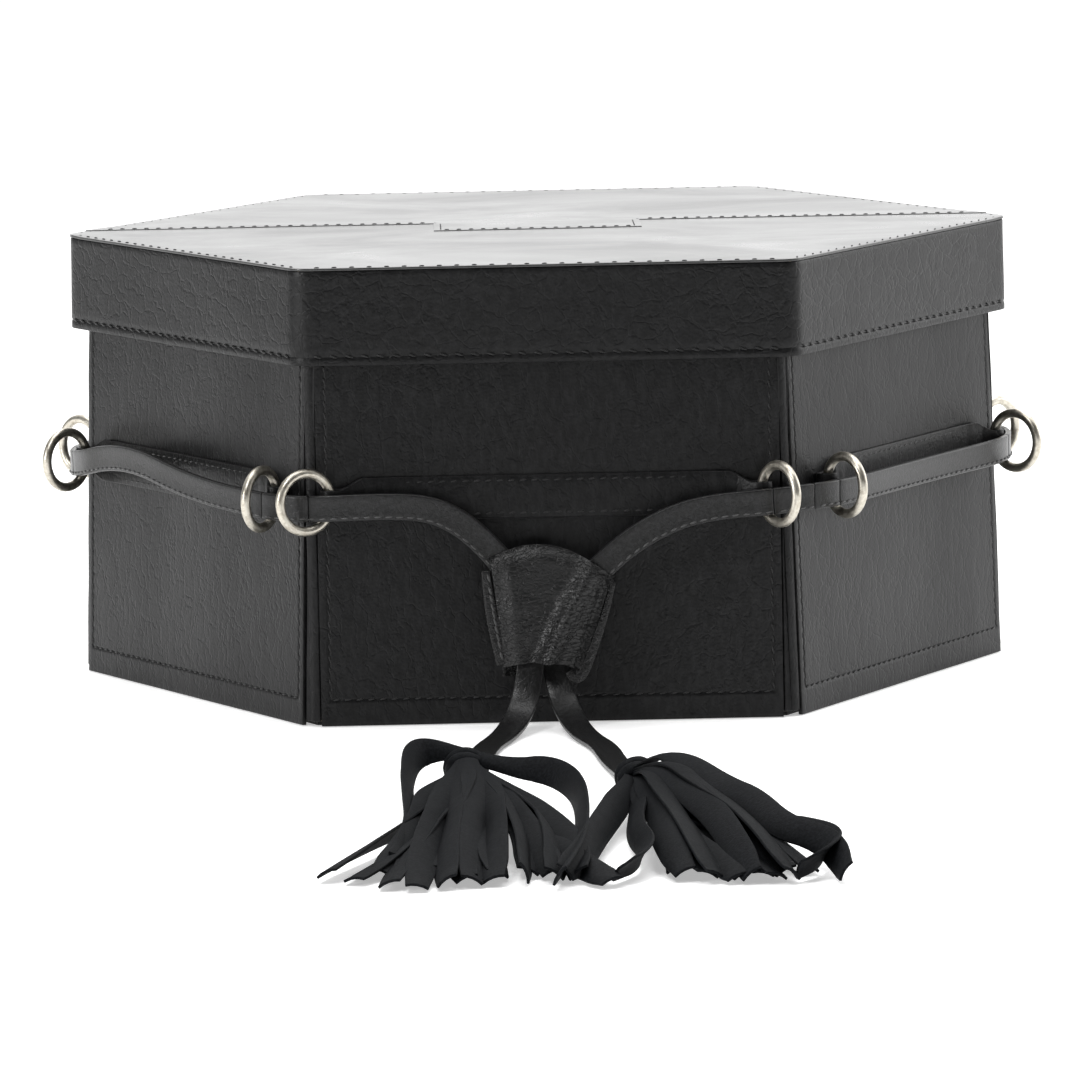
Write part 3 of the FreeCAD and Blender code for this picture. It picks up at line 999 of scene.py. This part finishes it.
for index, name in enumerate(panel_names):
    left, _ = loop_place(name, False)
    right, _ = loop_place(name, True)
    route = [Vector((along, -out, band_up)) for along, out in band_line(left, right)]
    points = line_of(route)
    widths = []
    for place in points:
        end = min(place.x - left, right - place.x)
        widths.append(band_narrow + (band_wide - band_narrow) * smoothstep((end - 3 * mm) / (11 * mm)))
    band = ribbon(name, points, [up_way] * len(points), widths, band_thick, 0.1 * mm, 0.45 * mm)
    band.data.transform(panel_frame(index))
    dress(band, name + "_ring_band", [wall_leather_finish, raw_edge])
    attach(band, "panel_" + name)
    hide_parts(name + "_band")
    rows = []
    row_up = band_wide / 2 - 2.2 * mm
    for up in (band_up - row_up, band_up + row_up):
        start, end = Vector((left + 20 * mm, -1.85 * mm, up)), Vector((right - 20 * mm, -1.85 * mm, up))
        rows += row_between(start, end, front_way, panel_pitch, 0.2, 0.8)
    sew_on(name + "_band_stitches", [panel_frame(index) @ place for place in rows],
           "panel_" + name)
print("bands sewn")

# %% Rings of satin wire
bpy.ops.mesh.primitive_torus_add(major_segments=72, minor_segments=20, major_radius=ring_radius,
                                 minor_radius=wire_radius)
ring_model = bpy.context.object
weld = Vector((-ring_radius, 0, 0))


def welded(co):
    """The wire swells slightly where its two ends were welded."""
    near = math.exp(-((co - weld).length / (3 * mm)) ** 2)
    middle = Vector((co.x, co.y, 0)).normalized() * ring_radius
    return middle + (co - middle) * (1 + 0.12 * near)


press(ring_model, welded)
for index, name in enumerate(panel_names):
    for right in (False, True):
        side = "right" if right else "left"
        _, swing = loop_place(name, right)
        along, out = ring_middle(index, right)
        normal = Vector((math.cos(swing), math.sin(swing), 0))
        outward = Vector((math.sin(swing), -math.cos(swing), 0))
        stand = Matrix((outward, up_way, normal)).transposed().to_4x4()
        copy = copy_of(ring_model.data, name)
        place = panel_frame(index) @ Matrix.Translation((along, -out, band_up)) @ stand
        copy.data.transform(place)
        if place.to_3x3().determinant() < 0:
            copy.data.flip_normals()
        label = name + "_ring_" + side
        dress(copy, name + "_wire_ring_" + side, [satin_nickel])
        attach(copy, label + "_body")
        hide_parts(label)
bpy.data.objects.remove(ring_model)
print("rings hung")

# %% [markdown]
# ## The lid
#
# The rim is one leather band round the six sides, softly rounded at the corners. It starts as a
# six-sided outline, whose corners are rounded and whose long sides are divided, and it is drawn
# upward in steps. The lowest steps make the sewn hem.

# %% The lid's outline
corner_round = 6.5 * mm
shortest_side = 20 * mm


def lid_outline(apothem_here, height, cuts_per_side):
    """A hexagon with rounded corners and divided sides, as a ring of edges."""
    radius = apothem_here / math.cos(sixth / 2)
    bpy.ops.mesh.primitive_circle_add(vertices=6, radius=radius, fill_type="NOTHING",
                                      rotation=(0, 0, sixth / 2), location=(0, 0, height))
    outline = bpy.context.object
    settle(outline)
    bpy.ops.object.mode_set(mode="EDIT")
    bpy.ops.mesh.select_all(action="SELECT")
    bpy.ops.mesh.bevel(offset=corner_round, offset_type="OFFSET", segments=6, affect="VERTICES")
    bpy.ops.mesh.select_mode(type="EDGE")
    work = bmesh.from_edit_mesh(outline.data)
    for edge in work.edges:
        edge.select_set(edge.calc_length() > shortest_side)
    bmesh.update_edit_mesh(outline.data)
    if cuts_per_side:
        bpy.ops.mesh.subdivide(number_cuts=cuts_per_side)
    bpy.ops.mesh.select_mode(type="VERT")
    bpy.ops.object.mode_set(mode="OBJECT")
    return outline


def draw_up(obj, heights):
    """Extrude a ring of edges upward to each height in turn."""
    only(obj)
    level = obj.data.vertices[0].co.z
    bpy.ops.object.mode_set(mode="EDIT")
    bpy.ops.mesh.select_all(action="SELECT")
    for height in heights:
        bpy.ops.mesh.extrude_region_move(TRANSFORM_OT_translate={"value": (0, 0, height - level)})
        level = height
    bpy.ops.object.mode_set(mode="OBJECT")
    turn_faces_out(obj)


def side_out(co):
    """The way out from the lid's side that a point belongs to."""
    side = round(math.atan2(co.x, -co.y) / sixth) * sixth
    return Vector((math.sin(side), -math.cos(side), 0))


# %% The rim
hem_line = 3.6 * mm
rim_levels = [rim_foot + step for step in (hem_line - groove, hem_line, hem_line + groove)]
rise = rim_foot + 7 * mm
while rise < rim_top - 1 * mm:
    rim_levels.append(rise)
    rise += 2.7 * mm
rim_levels.append(rim_top)
rim = lid_outline(rim_face, rim_foot, 72)
draw_up(rim, rim_levels)


def rim_swell(co):
    """The rim flares a little at its foot, waves slightly and is pressed in along its sewing."""
    outward = side_out(co)
    share = (co.z - rim_foot) / (rim_top - rim_foot)
    flare = 0.5 * mm * (1 - share) ** 2
    wave = 0.45 * mm * noise.noise(Vector((co.x * 11, co.y * 11, co.z * 16)))
    push = flare + wave * math.sin(math.pi * min(1, share + 0.05))
    if abs(co.z - rim_foot - hem_line) < 0.05 * mm:
        push -= 0.4 * mm
    return co + outward * push


press(rim, rim_swell)
thicken(rim, wall_leather, -1.0, 0.5 * mm)
dress(rim, "lid_rim_cover", [lid_leather_finish, raw_edge])
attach(rim, "lid")
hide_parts("lid_rim_leather")
print("rim", len(rim.data.polygons), "faces")

# %% The rim's and the lid edge's sewing
side_half = rim_face * math.tan(sixth / 2)
row_half = side_half - 5 * mm


def side_row(y, z, face, pitch, slant, size):
    """A row of stitches along the lid's front side."""
    return row_between(Vector((-row_half, y, z)), Vector((row_half, y, z)), face, pitch, slant, size)


lid_rows, edge_rows = [], []
for index in range(6):
    turn = Matrix.Rotation(sixth * index, 4, "Z")
    for place in side_row(-rim_face - 0.25 * mm, rim_foot + hem_line, front_way, lid_pitch, -0.28, 0.95):
        turned = turn @ place
        turned.translation = rim_swell(turned.translation + Vector((0, 0, 0.2 * mm)))
        lid_rows.append(turned)
    top = side_row(-rim_face + 2.6 * mm, lid_top - 0.45 * mm, up_way, 7.2 * mm, 0.2, 0.62)
    edge_rows += [turn @ place for place in top]
sew_on("lid_hem_stitches", lid_rows, "lid")
sew_on("lid_edge_stitches", edge_rows, "lid")

# %% [markdown]
# ## The lid's two top leathers
#
# The top is two pieces. The back one laps over the front one along a seam from corner to corner,
# with a sewn tongue that steps forward in the middle. A soft ridge runs in front of the seam,
# where the edge of the layer below shows through.

# %% Top leathers
seam_y = 14 * mm
tongue_half, tongue_front = 45 * mm, -20 * mm
grid_step = 6 * mm
lapped = 6 * mm


def seam_distance(x, y):
    """How far a point lies in front of the lapped edge: negative on the back piece."""
    ahead = seam_y - y
    beside = abs(x) - tongue_half
    before = tongue_front - y
    if beside <= 0:
        return before
    if before <= 0:
        return min(ahead, beside)
    return min(ahead, math.hypot(beside, before))


def lid_sheet(front):
    """The front or back part of the lid's outline, filled and divided into a fine grid."""
    sheet = lid_outline(rim_face + 0.2 * mm, 0, 0)
    only(sheet)
    edge_y = seam_y + lapped if front else seam_y
    bpy.ops.object.mode_set(mode="EDIT")
    bpy.ops.mesh.select_all(action="SELECT")
    bpy.ops.mesh.edge_face_add()
    bpy.ops.mesh.select_all(action="SELECT")
    bpy.ops.mesh.bisect(plane_co=(0, edge_y, 0), plane_no=(0, 1, 0), clear_outer=front,
                        clear_inner=not front)
    bpy.ops.object.mode_set(mode="OBJECT")
    cuts = []
    steps = int(rim_face / math.cos(sixth / 2) / grid_step)
    for number in range(-steps, steps + 1):
        cuts.append(((number * grid_step, 0, 0), (1, 0, 0)))
        cuts.append(((0, number * grid_step, 0), (0, 1, 0)))
    for shift in (0.6 * mm, 2.2 * mm, 3.0 * mm, 3.8 * mm):
        cuts.append(((0, seam_y + shift, 0), (0, 1, 0)))
    for side in (-tongue_half, tongue_half):
        cuts.append(((side, 0, 0), (1, 0, 0)))
    cut_lines(sheet, cuts)
    if not front:
        bpy.ops.mesh.primitive_plane_add(size=1)
        tongue = bpy.context.object
        tongue.scale = (2 * tongue_half, seam_y - tongue_front, 1)
        tongue.location = (0, (seam_y + tongue_front) / 2, 0)
        settle(tongue)
        cut_lines(tongue, cuts)
        sheet = join([sheet, tongue])
        bpy.ops.object.mode_set(mode="EDIT")
        bpy.ops.mesh.select_all(action="SELECT")
        bpy.ops.mesh.remove_doubles(threshold=0.02 * mm)
        bpy.ops.object.mode_set(mode="OBJECT")
    turn_faces_out(sheet)
    if sheet.data.polygons[0].normal.z < 0:
        sheet.data.flip_normals()
    return sheet


def lid_wave(co):
    """Slow waves in the lid's top, dying away at its edge."""
    edge = max(0.0, 1 - co.xy.length / rim_face)
    slow = noise.noise(Vector((co.x * 7, co.y * 7, 3.0)))
    quick = noise.noise(Vector((co.x * 24, co.y * 30, 8.0)))
    return min(1, edge * 5) * (0.35 * mm * slow + 0.08 * mm * quick)


def front_shape(co):
    """The front leather: a soft ridge before the seam."""
    ahead = seam_distance(co.x, co.y)
    ridge = 0.28 * mm * (1 - smoothstep((ahead - 20 * mm) / (5 * mm)))
    return Vector((co.x, co.y, lid_top - 0.6 * mm + ridge + lid_wave(co)))


def back_shape(co):
    """The back leather: it rises a little where it laps over the front one."""
    behind = -min(0.0, seam_distance(co.x, co.y)) if co.y < seam_y else co.y - seam_y
    if co.y >= seam_y and abs(co.x) < tongue_half:
        behind = co.y - tongue_front
    lap = 1 - smoothstep((behind - 8 * mm) / (14 * mm))
    return Vector((co.x, co.y, lid_top - 0.35 * mm + 0.30 * mm * lap + lid_wave(co)))


for label, front, shape, thickness in (("front", True, front_shape, 1.0 * mm),
                                       ("back", False, back_shape, 1.2 * mm)):
    top_leather = lid_sheet(front)
    press(top_leather, shape)
    thicken(top_leather, thickness, -1.0, 0.35 * mm)
    dress(top_leather, "lid_" + label + "_top", [lid_top_finish, raw_edge], 50)
    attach(top_leather, "lid")
    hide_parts("lid_" + label + "_leather")

seam_rows = []
stitch_in = 3 * mm
seam_ends = side_half * 2 - 16 * mm
tongue_in = tongue_half - stitch_in
seam_lines = [
    ((-seam_ends, seam_y + stitch_in), (-tongue_in, seam_y + stitch_in)),
    ((-tongue_in, seam_y), (-tongue_in, tongue_front + stitch_in)),
    ((-tongue_in, tongue_front + stitch_in), (tongue_in, tongue_front + stitch_in)),
    ((tongue_in, tongue_front + stitch_in), (tongue_in, seam_y)),
    ((tongue_in, seam_y + stitch_in), (seam_ends, seam_y + stitch_in)),
]
for start, end in seam_lines:
    for place in row_between(Vector((*start, 0)), Vector((*end, 0)), up_way, 5.2 * mm, 0.15, 0.6):
        place.translation = back_shape(place.translation) + Vector((0, 0, 0.05 * mm))
        seam_rows.append(place)
sew_on("lid_seam_stitches", seam_rows, "lid")
print("lid covered")

# %% [markdown]
# ## The keeper
#
# A piece of leather is folded round both straps and sewn down its left side. The straps inside
# press two ridges into its front, and it creases where it is pushed up and down. It starts as a
# tube, drawn up in steps, and is pressed to shape row by row.

# %% The sleeve
keeper_foot, keeper_high = 26 * mm, 62 * mm
keeper_rows, keeper_columns = 110, 120


def keeper_edges(share):
    """Left edge, right edge, standoff, and the places of its ridges and its groove, going up it."""
    left = (-20.5 - 4.5 * share) * mm
    right = (13.5 + 12.0 * share) * mm
    stand = (15.5 - 2.4 * share) * mm
    return left, right, stand, (-13 - 5 * share) * mm, (-2.3 + 21 * share) * mm, (9.8 + 14.0 * share) * mm


def keeper_shape(co):
    """From a round tube of radius 1 to the sleeve."""
    angle = math.atan2(-co.y, co.x)
    share = co.z
    left, right, stand, ridge_left, ridge_right, groove_right = keeper_edges(share)
    half = (right - left) / 2
    x = (left + right) / 2 + half * math.copysign(abs(math.cos(angle)) ** 0.8, math.cos(angle))
    centre = min(1, max(0, (x - left) / (right - left)))
    arch = math.sin(math.pi * centre)
    body = abs(math.sin(angle)) ** 0.65
    if math.sin(angle) <= 0:
        high = keeper_high + 1 * mm * arch
        foot = keeper_foot - 4 * mm
        return in_front(x / mm, stand / mm - body * 4.8, (foot + (high - keeper_foot) * share) / mm)
    ridge = math.exp(-((x - ridge_right) / (4.3 * mm)) ** 2)
    small = math.exp(-((x - ridge_left) / (3.5 * mm)) ** 2)
    valley = math.exp(-((x - groove_right) / (1.6 * mm)) ** 2)
    fade = 1 - 0.45 * smoothstep((share - 0.72) / 0.28)
    crease = math.sin(share * 150 + 2.4 * noise.noise(Vector((x * 210, share * 9, 1))) - x * 900)
    fine = noise.noise(Vector((x * 520, share * 48, 4.0)))
    slow = noise.noise(Vector((x * 110, share * 5, 9.0)))
    out = 2.2 + fade * (6.4 * ridge + 1.6 * small) - 1.6 * valley + 0.6 * slow + 0.15 * fine
    out += 0.28 * crease * ridge
    tuck = smoothstep((share - 0.84) / 0.16) ** 2 * 3.5
    rise = (9 + 8 * arch ** 0.9 - 8.5 * centre ** 1.5) * mm
    foot = keeper_foot + 3.4 * mm * arch - 2.5 * mm * centre
    high = keeper_high + rise
    return in_front(x / mm, stand / mm + body * out - tuck * body, (foot + (high - foot) * share) / mm)


bpy.ops.mesh.primitive_circle_add(vertices=keeper_columns, radius=1, fill_type="NOTHING")
sleeve = bpy.context.object
draw_up(sleeve, [row / keeper_rows for row in range(1, keeper_rows + 1)])
press(sleeve, keeper_shape)
turn_faces_out(sleeve)
thicken(sleeve, 1.3 * mm, -1.0, 0.35 * mm)
dress(sleeve, "keeper_sleeve", [keeper_leather_finish, raw_edge])
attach(sleeve, "keeper_body")
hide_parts("keeper")

# %% Its sewn left wing and folded right wing
wing_routes = {
    "left": ([(-26.8, 13.2, 66), (-26.0, 14.0, 56), (-24.4, 14.6, 46), (-22.8, 15.2, 36), (-21.2, 15.8, 27)],
             [3.4, 4.4, 4.8, 4.6, 3.6]),
    "right": ([(25.6, 13.4, 60), (23.6, 14.6, 52), (20.6, 15.6, 43), (17.4, 16.4, 34), (14.2, 17.4, 26),
               (11.6, 18.4, 21.5), (8.0, 18.6, 20.6), (6.6, 18.0, 24.0)],
              [1.6, 2.4, 3.0, 3.2, 3.4, 3.6, 3.2, 2.2]),
}
for side, (route, wides) in wing_routes.items():
    points = line_of([in_front(*point) for point in route])
    acrosses, widths = [], []
    for number, way in enumerate(directions(points)):
        share = number / (len(points) - 1) * (len(wides) - 1)
        low = min(int(share), len(wides) - 2)
        widths.append((wides[low] + (wides[low + 1] - wides[low]) * (share - low)) * mm)
        acrosses.append(front_way.cross(way).normalized())
    wing = ribbon(side, points, acrosses, widths, 1.9 * mm, 0.2 * mm, 0.5 * mm)
    dress(wing, "keeper_wing_" + side, [keeper_leather_finish, raw_edge])
    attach(wing, "keeper_body")
    if side == "left":
        rows = []
        for number in range(10):
            spot = points[int((number + 0.6) / 10.2 * (len(points) - 1))] + Vector((0.9 * mm, -1.15 * mm, 0))
            rows.append(stitch_frame(spot, Vector((-0.16, 0, 1)), front_way, 0.15))
        sew_on("keeper_stitches", rows, "keeper_body", pale_thread)
print("keeper pressed")

# %% [markdown]
# ## Knots and tassels
#
# Each tail ends in a knot, and from it a bunch of soft strips fans out over the floor. Strips that
# show by themselves, such as the loops at the sides, have a route of their own. The rest of the
# bunch is filled with strips between those, a little different each time.

# %% Knots
knot_turns = ((4.2, 5.4, 0.25), (9.4, 6.4, -0.2), (13.4, 5.6, 0.3))


def rumple(co):
    """Push a point of a knot about a little."""
    return co + Vector((1, 1, 1)) * 0.35 * mm * noise.noise(co * 210)


def tie_knot(side, route):
    """Turns of strap round the end of a tail, each with its place, its radius and its tilt."""
    end = in_front(*route[-1])
    ahead = end - in_front(*route[-2])
    ahead = Vector((ahead.x, ahead.y, 0)).normalized()
    across = Vector((-ahead.y, ahead.x, 0))
    wraps = []
    for shift, radius, tilt in knot_turns:
        bpy.ops.mesh.primitive_torus_add(major_segments=40, minor_segments=14, major_radius=radius * mm,
                                         minor_radius=2.7 * mm)
        wrap = bpy.context.object
        wrap.scale = (1, 0.92, 1.25)
        settle(wrap)
        stand = Matrix((across, up_way, ahead)).transposed().to_4x4()
        place = Matrix.Translation(end + ahead * shift * mm)
        wrap.data.transform(place @ (Matrix.Rotation(tilt, 4, across) @ stand))
        wraps.append(wrap)
    knot = join(wraps)
    press(knot, rumple)
    lowest = min(vertex.co.z for vertex in knot.data.vertices)
    knot.data.transform(Matrix.Translation((0, 0, max(0.0, 0.4 * mm - lowest))))
    turn_faces_out(knot)
    dress(knot, "strap_knot_" + side, [tassel_finish])
    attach(knot, "base")
    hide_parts("knot_" + side)
    return knot


for side, route in (("left", tail_left_route), ("right", tail_right_route)):
    knot = tie_knot(side, route)

# %% Tassel strips
strip_width, strip_thick = 11.5 * mm, 1.1 * mm


def strip(route, rolls):
    """One soft strip: its route, and how far it is tipped on edge from end to end, in degrees."""
    points = line_of([in_front(*point) for point in route])
    acrosses, widths = [], []
    for number, way in enumerate(directions(points)):
        share = number / (len(points) - 1)
        flat = up_way.cross(way)
        flat = flat.normalized() if flat.length > 0.05 else Vector((1, 0, 0))
        roll = math.radians(rolls[0] + (rolls[1] - rolls[0]) * min(1, share * 2)
                            + (rolls[2] - rolls[1]) * max(0, share * 2 - 1))
        acrosses.append(Matrix.Rotation(roll, 3, way) @ flat)
        root_share = 0.55 + 0.45 * smoothstep(share * 4)
        tip_share = 1 - 0.25 * smoothstep((share - 0.9) * 9)
        widths.append(strip_width * root_share * tip_share)
    lifted = []
    for place, across, wide in zip(points, acrosses, widths):
        low = place.z - abs(across.z) * wide / 2 - strip_thick
        lifted.append(place + Vector((0, 0, max(0.0, 0.4 * mm - low))))
    obj = ribbon("strip", lifted, acrosses, widths, strip_thick, 0.9 * mm, 0.3 * mm)
    return dress(obj, "strip", [tassel_finish, tassel_finish], 60)


left_strips = [
    ([(-38, 168, 10), (-43, 215, 9), (-54, 272, 8), (-75, 330, 7), (-90, 366, 4)], (30, 60, 25)),
    ([(-38, 170, 8), (-43, 228, 8), (-53, 295, 7), (-68, 348, 5), (-80, 371, 2)], (20, 45, 10)),
    ([(-39, 170, 10), (-43, 230, 11), (-51, 300, 9), (-62, 352, 6), (-67, 384, 2)], (-10, 40, 20)),
    ([(-38, 170, 13), (-43, 232, 14), (-50, 300, 12), (-55, 352, 7), (-57, 388, 2)], (10, -45, -10)),
    ([(-37, 170, 13), (-38, 232, 17), (-43, 300, 13), (-46, 352, 8), (-46, 386, 3)], (0, 50, 35)),
    ([(-36, 170, 13), (-34, 235, 17), (-35, 300, 13), (-37, 350, 8), (-37, 382, 3)], (0, -45, -25)),
    ([(-36, 170, 12), (-30, 235, 15), (-27, 300, 12), (-28, 350, 8), (-29, 380, 3)], (-10, 45, 20)),
    ([(-35, 170, 11), (-25, 235, 13), (-19, 300, 11), (-17, 350, 8), (-18, 382, 5)], (-20, -50, -70)),
    ([(-34, 170, 10), (-20, 225, 10), (-9, 290, 9), (-5, 345, 7), (-7, 376, 4)], (-20, -60, -35)),
    ([(-33, 170, 9), (-16, 232, 8), (-3, 300, 7), (3, 350, 6), (2, 377, 3)], (-10, 20, 40)),
    ([(-33, 168, 13), (-19, 186, 12), (-4, 186, 11), (6, 222, 10), (6, 292, 9), (2, 356, 8), (-5, 392, 6)],
     (40, 70, 55)),
    ([(-39, 164, 14), (-46, 159, 15), (-58, 161, 15), (-61, 205, 12), (-59, 262, 10), (-57, 308, 7),
      (-64, 345, 5)], (-50, -70, -40)),
    ([(-14, 300, 6), (-4, 340, 6), (4, 366, 4), (14, 388, 3)], (20, 40, 15)),
]
right_strips = [
    ([(27, 202, 10), (21, 252, 10), (10, 320, 9), (3, 363, 7), (-3, 379, 5)], (-30, -55, -45)),
    ([(29, 204, 10), (28, 262, 10), (24, 316, 9), (29, 350, 8), (24, 371, 6), (16, 382, 3)], (40, 65, 50)),
    ([(30, 204, 14), (37, 222, 22), (45, 234, 22), (58, 284, 20), (68, 308, 19), (78, 345, 14),
      (92, 352, 11), (98, 374, 8), (99, 390, 4)], (0, 30, 60)),
    ([(30, 204, 13), (40, 238, 23), (52, 282, 19), (63, 322, 17), (71, 359, 13), (76, 379, 7), (80, 387, 3)],
     (0, -30, -40)),
    ([(30, 204, 12), (37, 236, 21), (46, 286, 18), (55, 330, 16), (61, 368, 10), (65, 386, 4)], (0, 35, 40)),
    ([(30, 204, 11), (34, 236, 19), (38, 290, 16), (44, 340, 13), (49, 374, 7), (52, 383, 3)], (0, -35, -30)),
    ([(30, 204, 10), (32, 240, 15), (34, 300, 13), (35, 350, 10), (41, 378, 4)], (0, 45, 25)),
    ([(31, 205, 10), (48, 262, 12), (66, 320, 12), (83, 340, 13), (97, 353, 11), (93, 376, 8), (82, 385, 5)],
     (-10, 40, 60)),
    ([(31, 205, 9), (44, 270, 9), (58, 335, 8), (70, 374, 5), (74, 385, 3)], (20, -35, -20)),
    ([(30, 205, 8), (36, 280, 8), (44, 340, 7), (58, 376, 5), (60, 385, 3)], (-20, 35, 20)),
]
draws = random.Random(7)
fillers = 7
for side, strips, tips, root, reach in (("left", left_strips, (-74, -2), (-37, 170, 9), 372),
                                        ("right", right_strips, (36, 88), (30, 204, 9), 378)):
    made = [strip(route, rolls) for route, rolls in strips]
    for number in range(fillers):
        share = (number + 0.5) / fillers + draws.uniform(-0.05, 0.05)
        tip_x = tips[0] + (tips[1] - tips[0]) * share
        tip_out = reach + draws.uniform(-14, 6)
        rise = draws.uniform(6, 13)
        sway = draws.uniform(-5, 5)
        route = [root]
        for part, lift in ((0.3, rise), (0.6, rise * 0.9), (0.85, rise * 0.6)):
            route.append((root[0] + (tip_x - root[0]) * part + sway * math.sin(part * 6),
                          root[1] + (tip_out - root[1]) * part, lift))
        route.append((tip_x, tip_out, 3))
        roll = draws.choice((-1, 1)) * draws.uniform(25, 60)
        made.append(strip(route, (0, roll, roll * 0.5)))
    bunch = join(made)
    dress(bunch, "tassel_strips_" + side, [tassel_finish], 60)
    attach(bunch, "base")
    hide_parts("tassel_" + side)
    print("tassel", side, len(bunch.data.polygons), "faces")

# %% [markdown]
# ## The frame's own pieces
#
# Boards and linings are plain in life too, so the frame's shapes stay and only get their finish.

# %% Finishes on the frame's pieces
for name, obj in nodes.items():
    if obj.hide_render:
        continue
    if name.endswith("_board"):
        finish, slot = pressed_board, "board"
    elif name.endswith("_lining"):
        finish, slot = lining_cloth, "lining"
    else:
        finish, slot = wall_leather_finish, "box_leather"
    obj.data.materials.clear()
    obj.data.materials.append(finish)
print("frame pieces finished")

# %% Measure the scene's bounds
low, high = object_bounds()
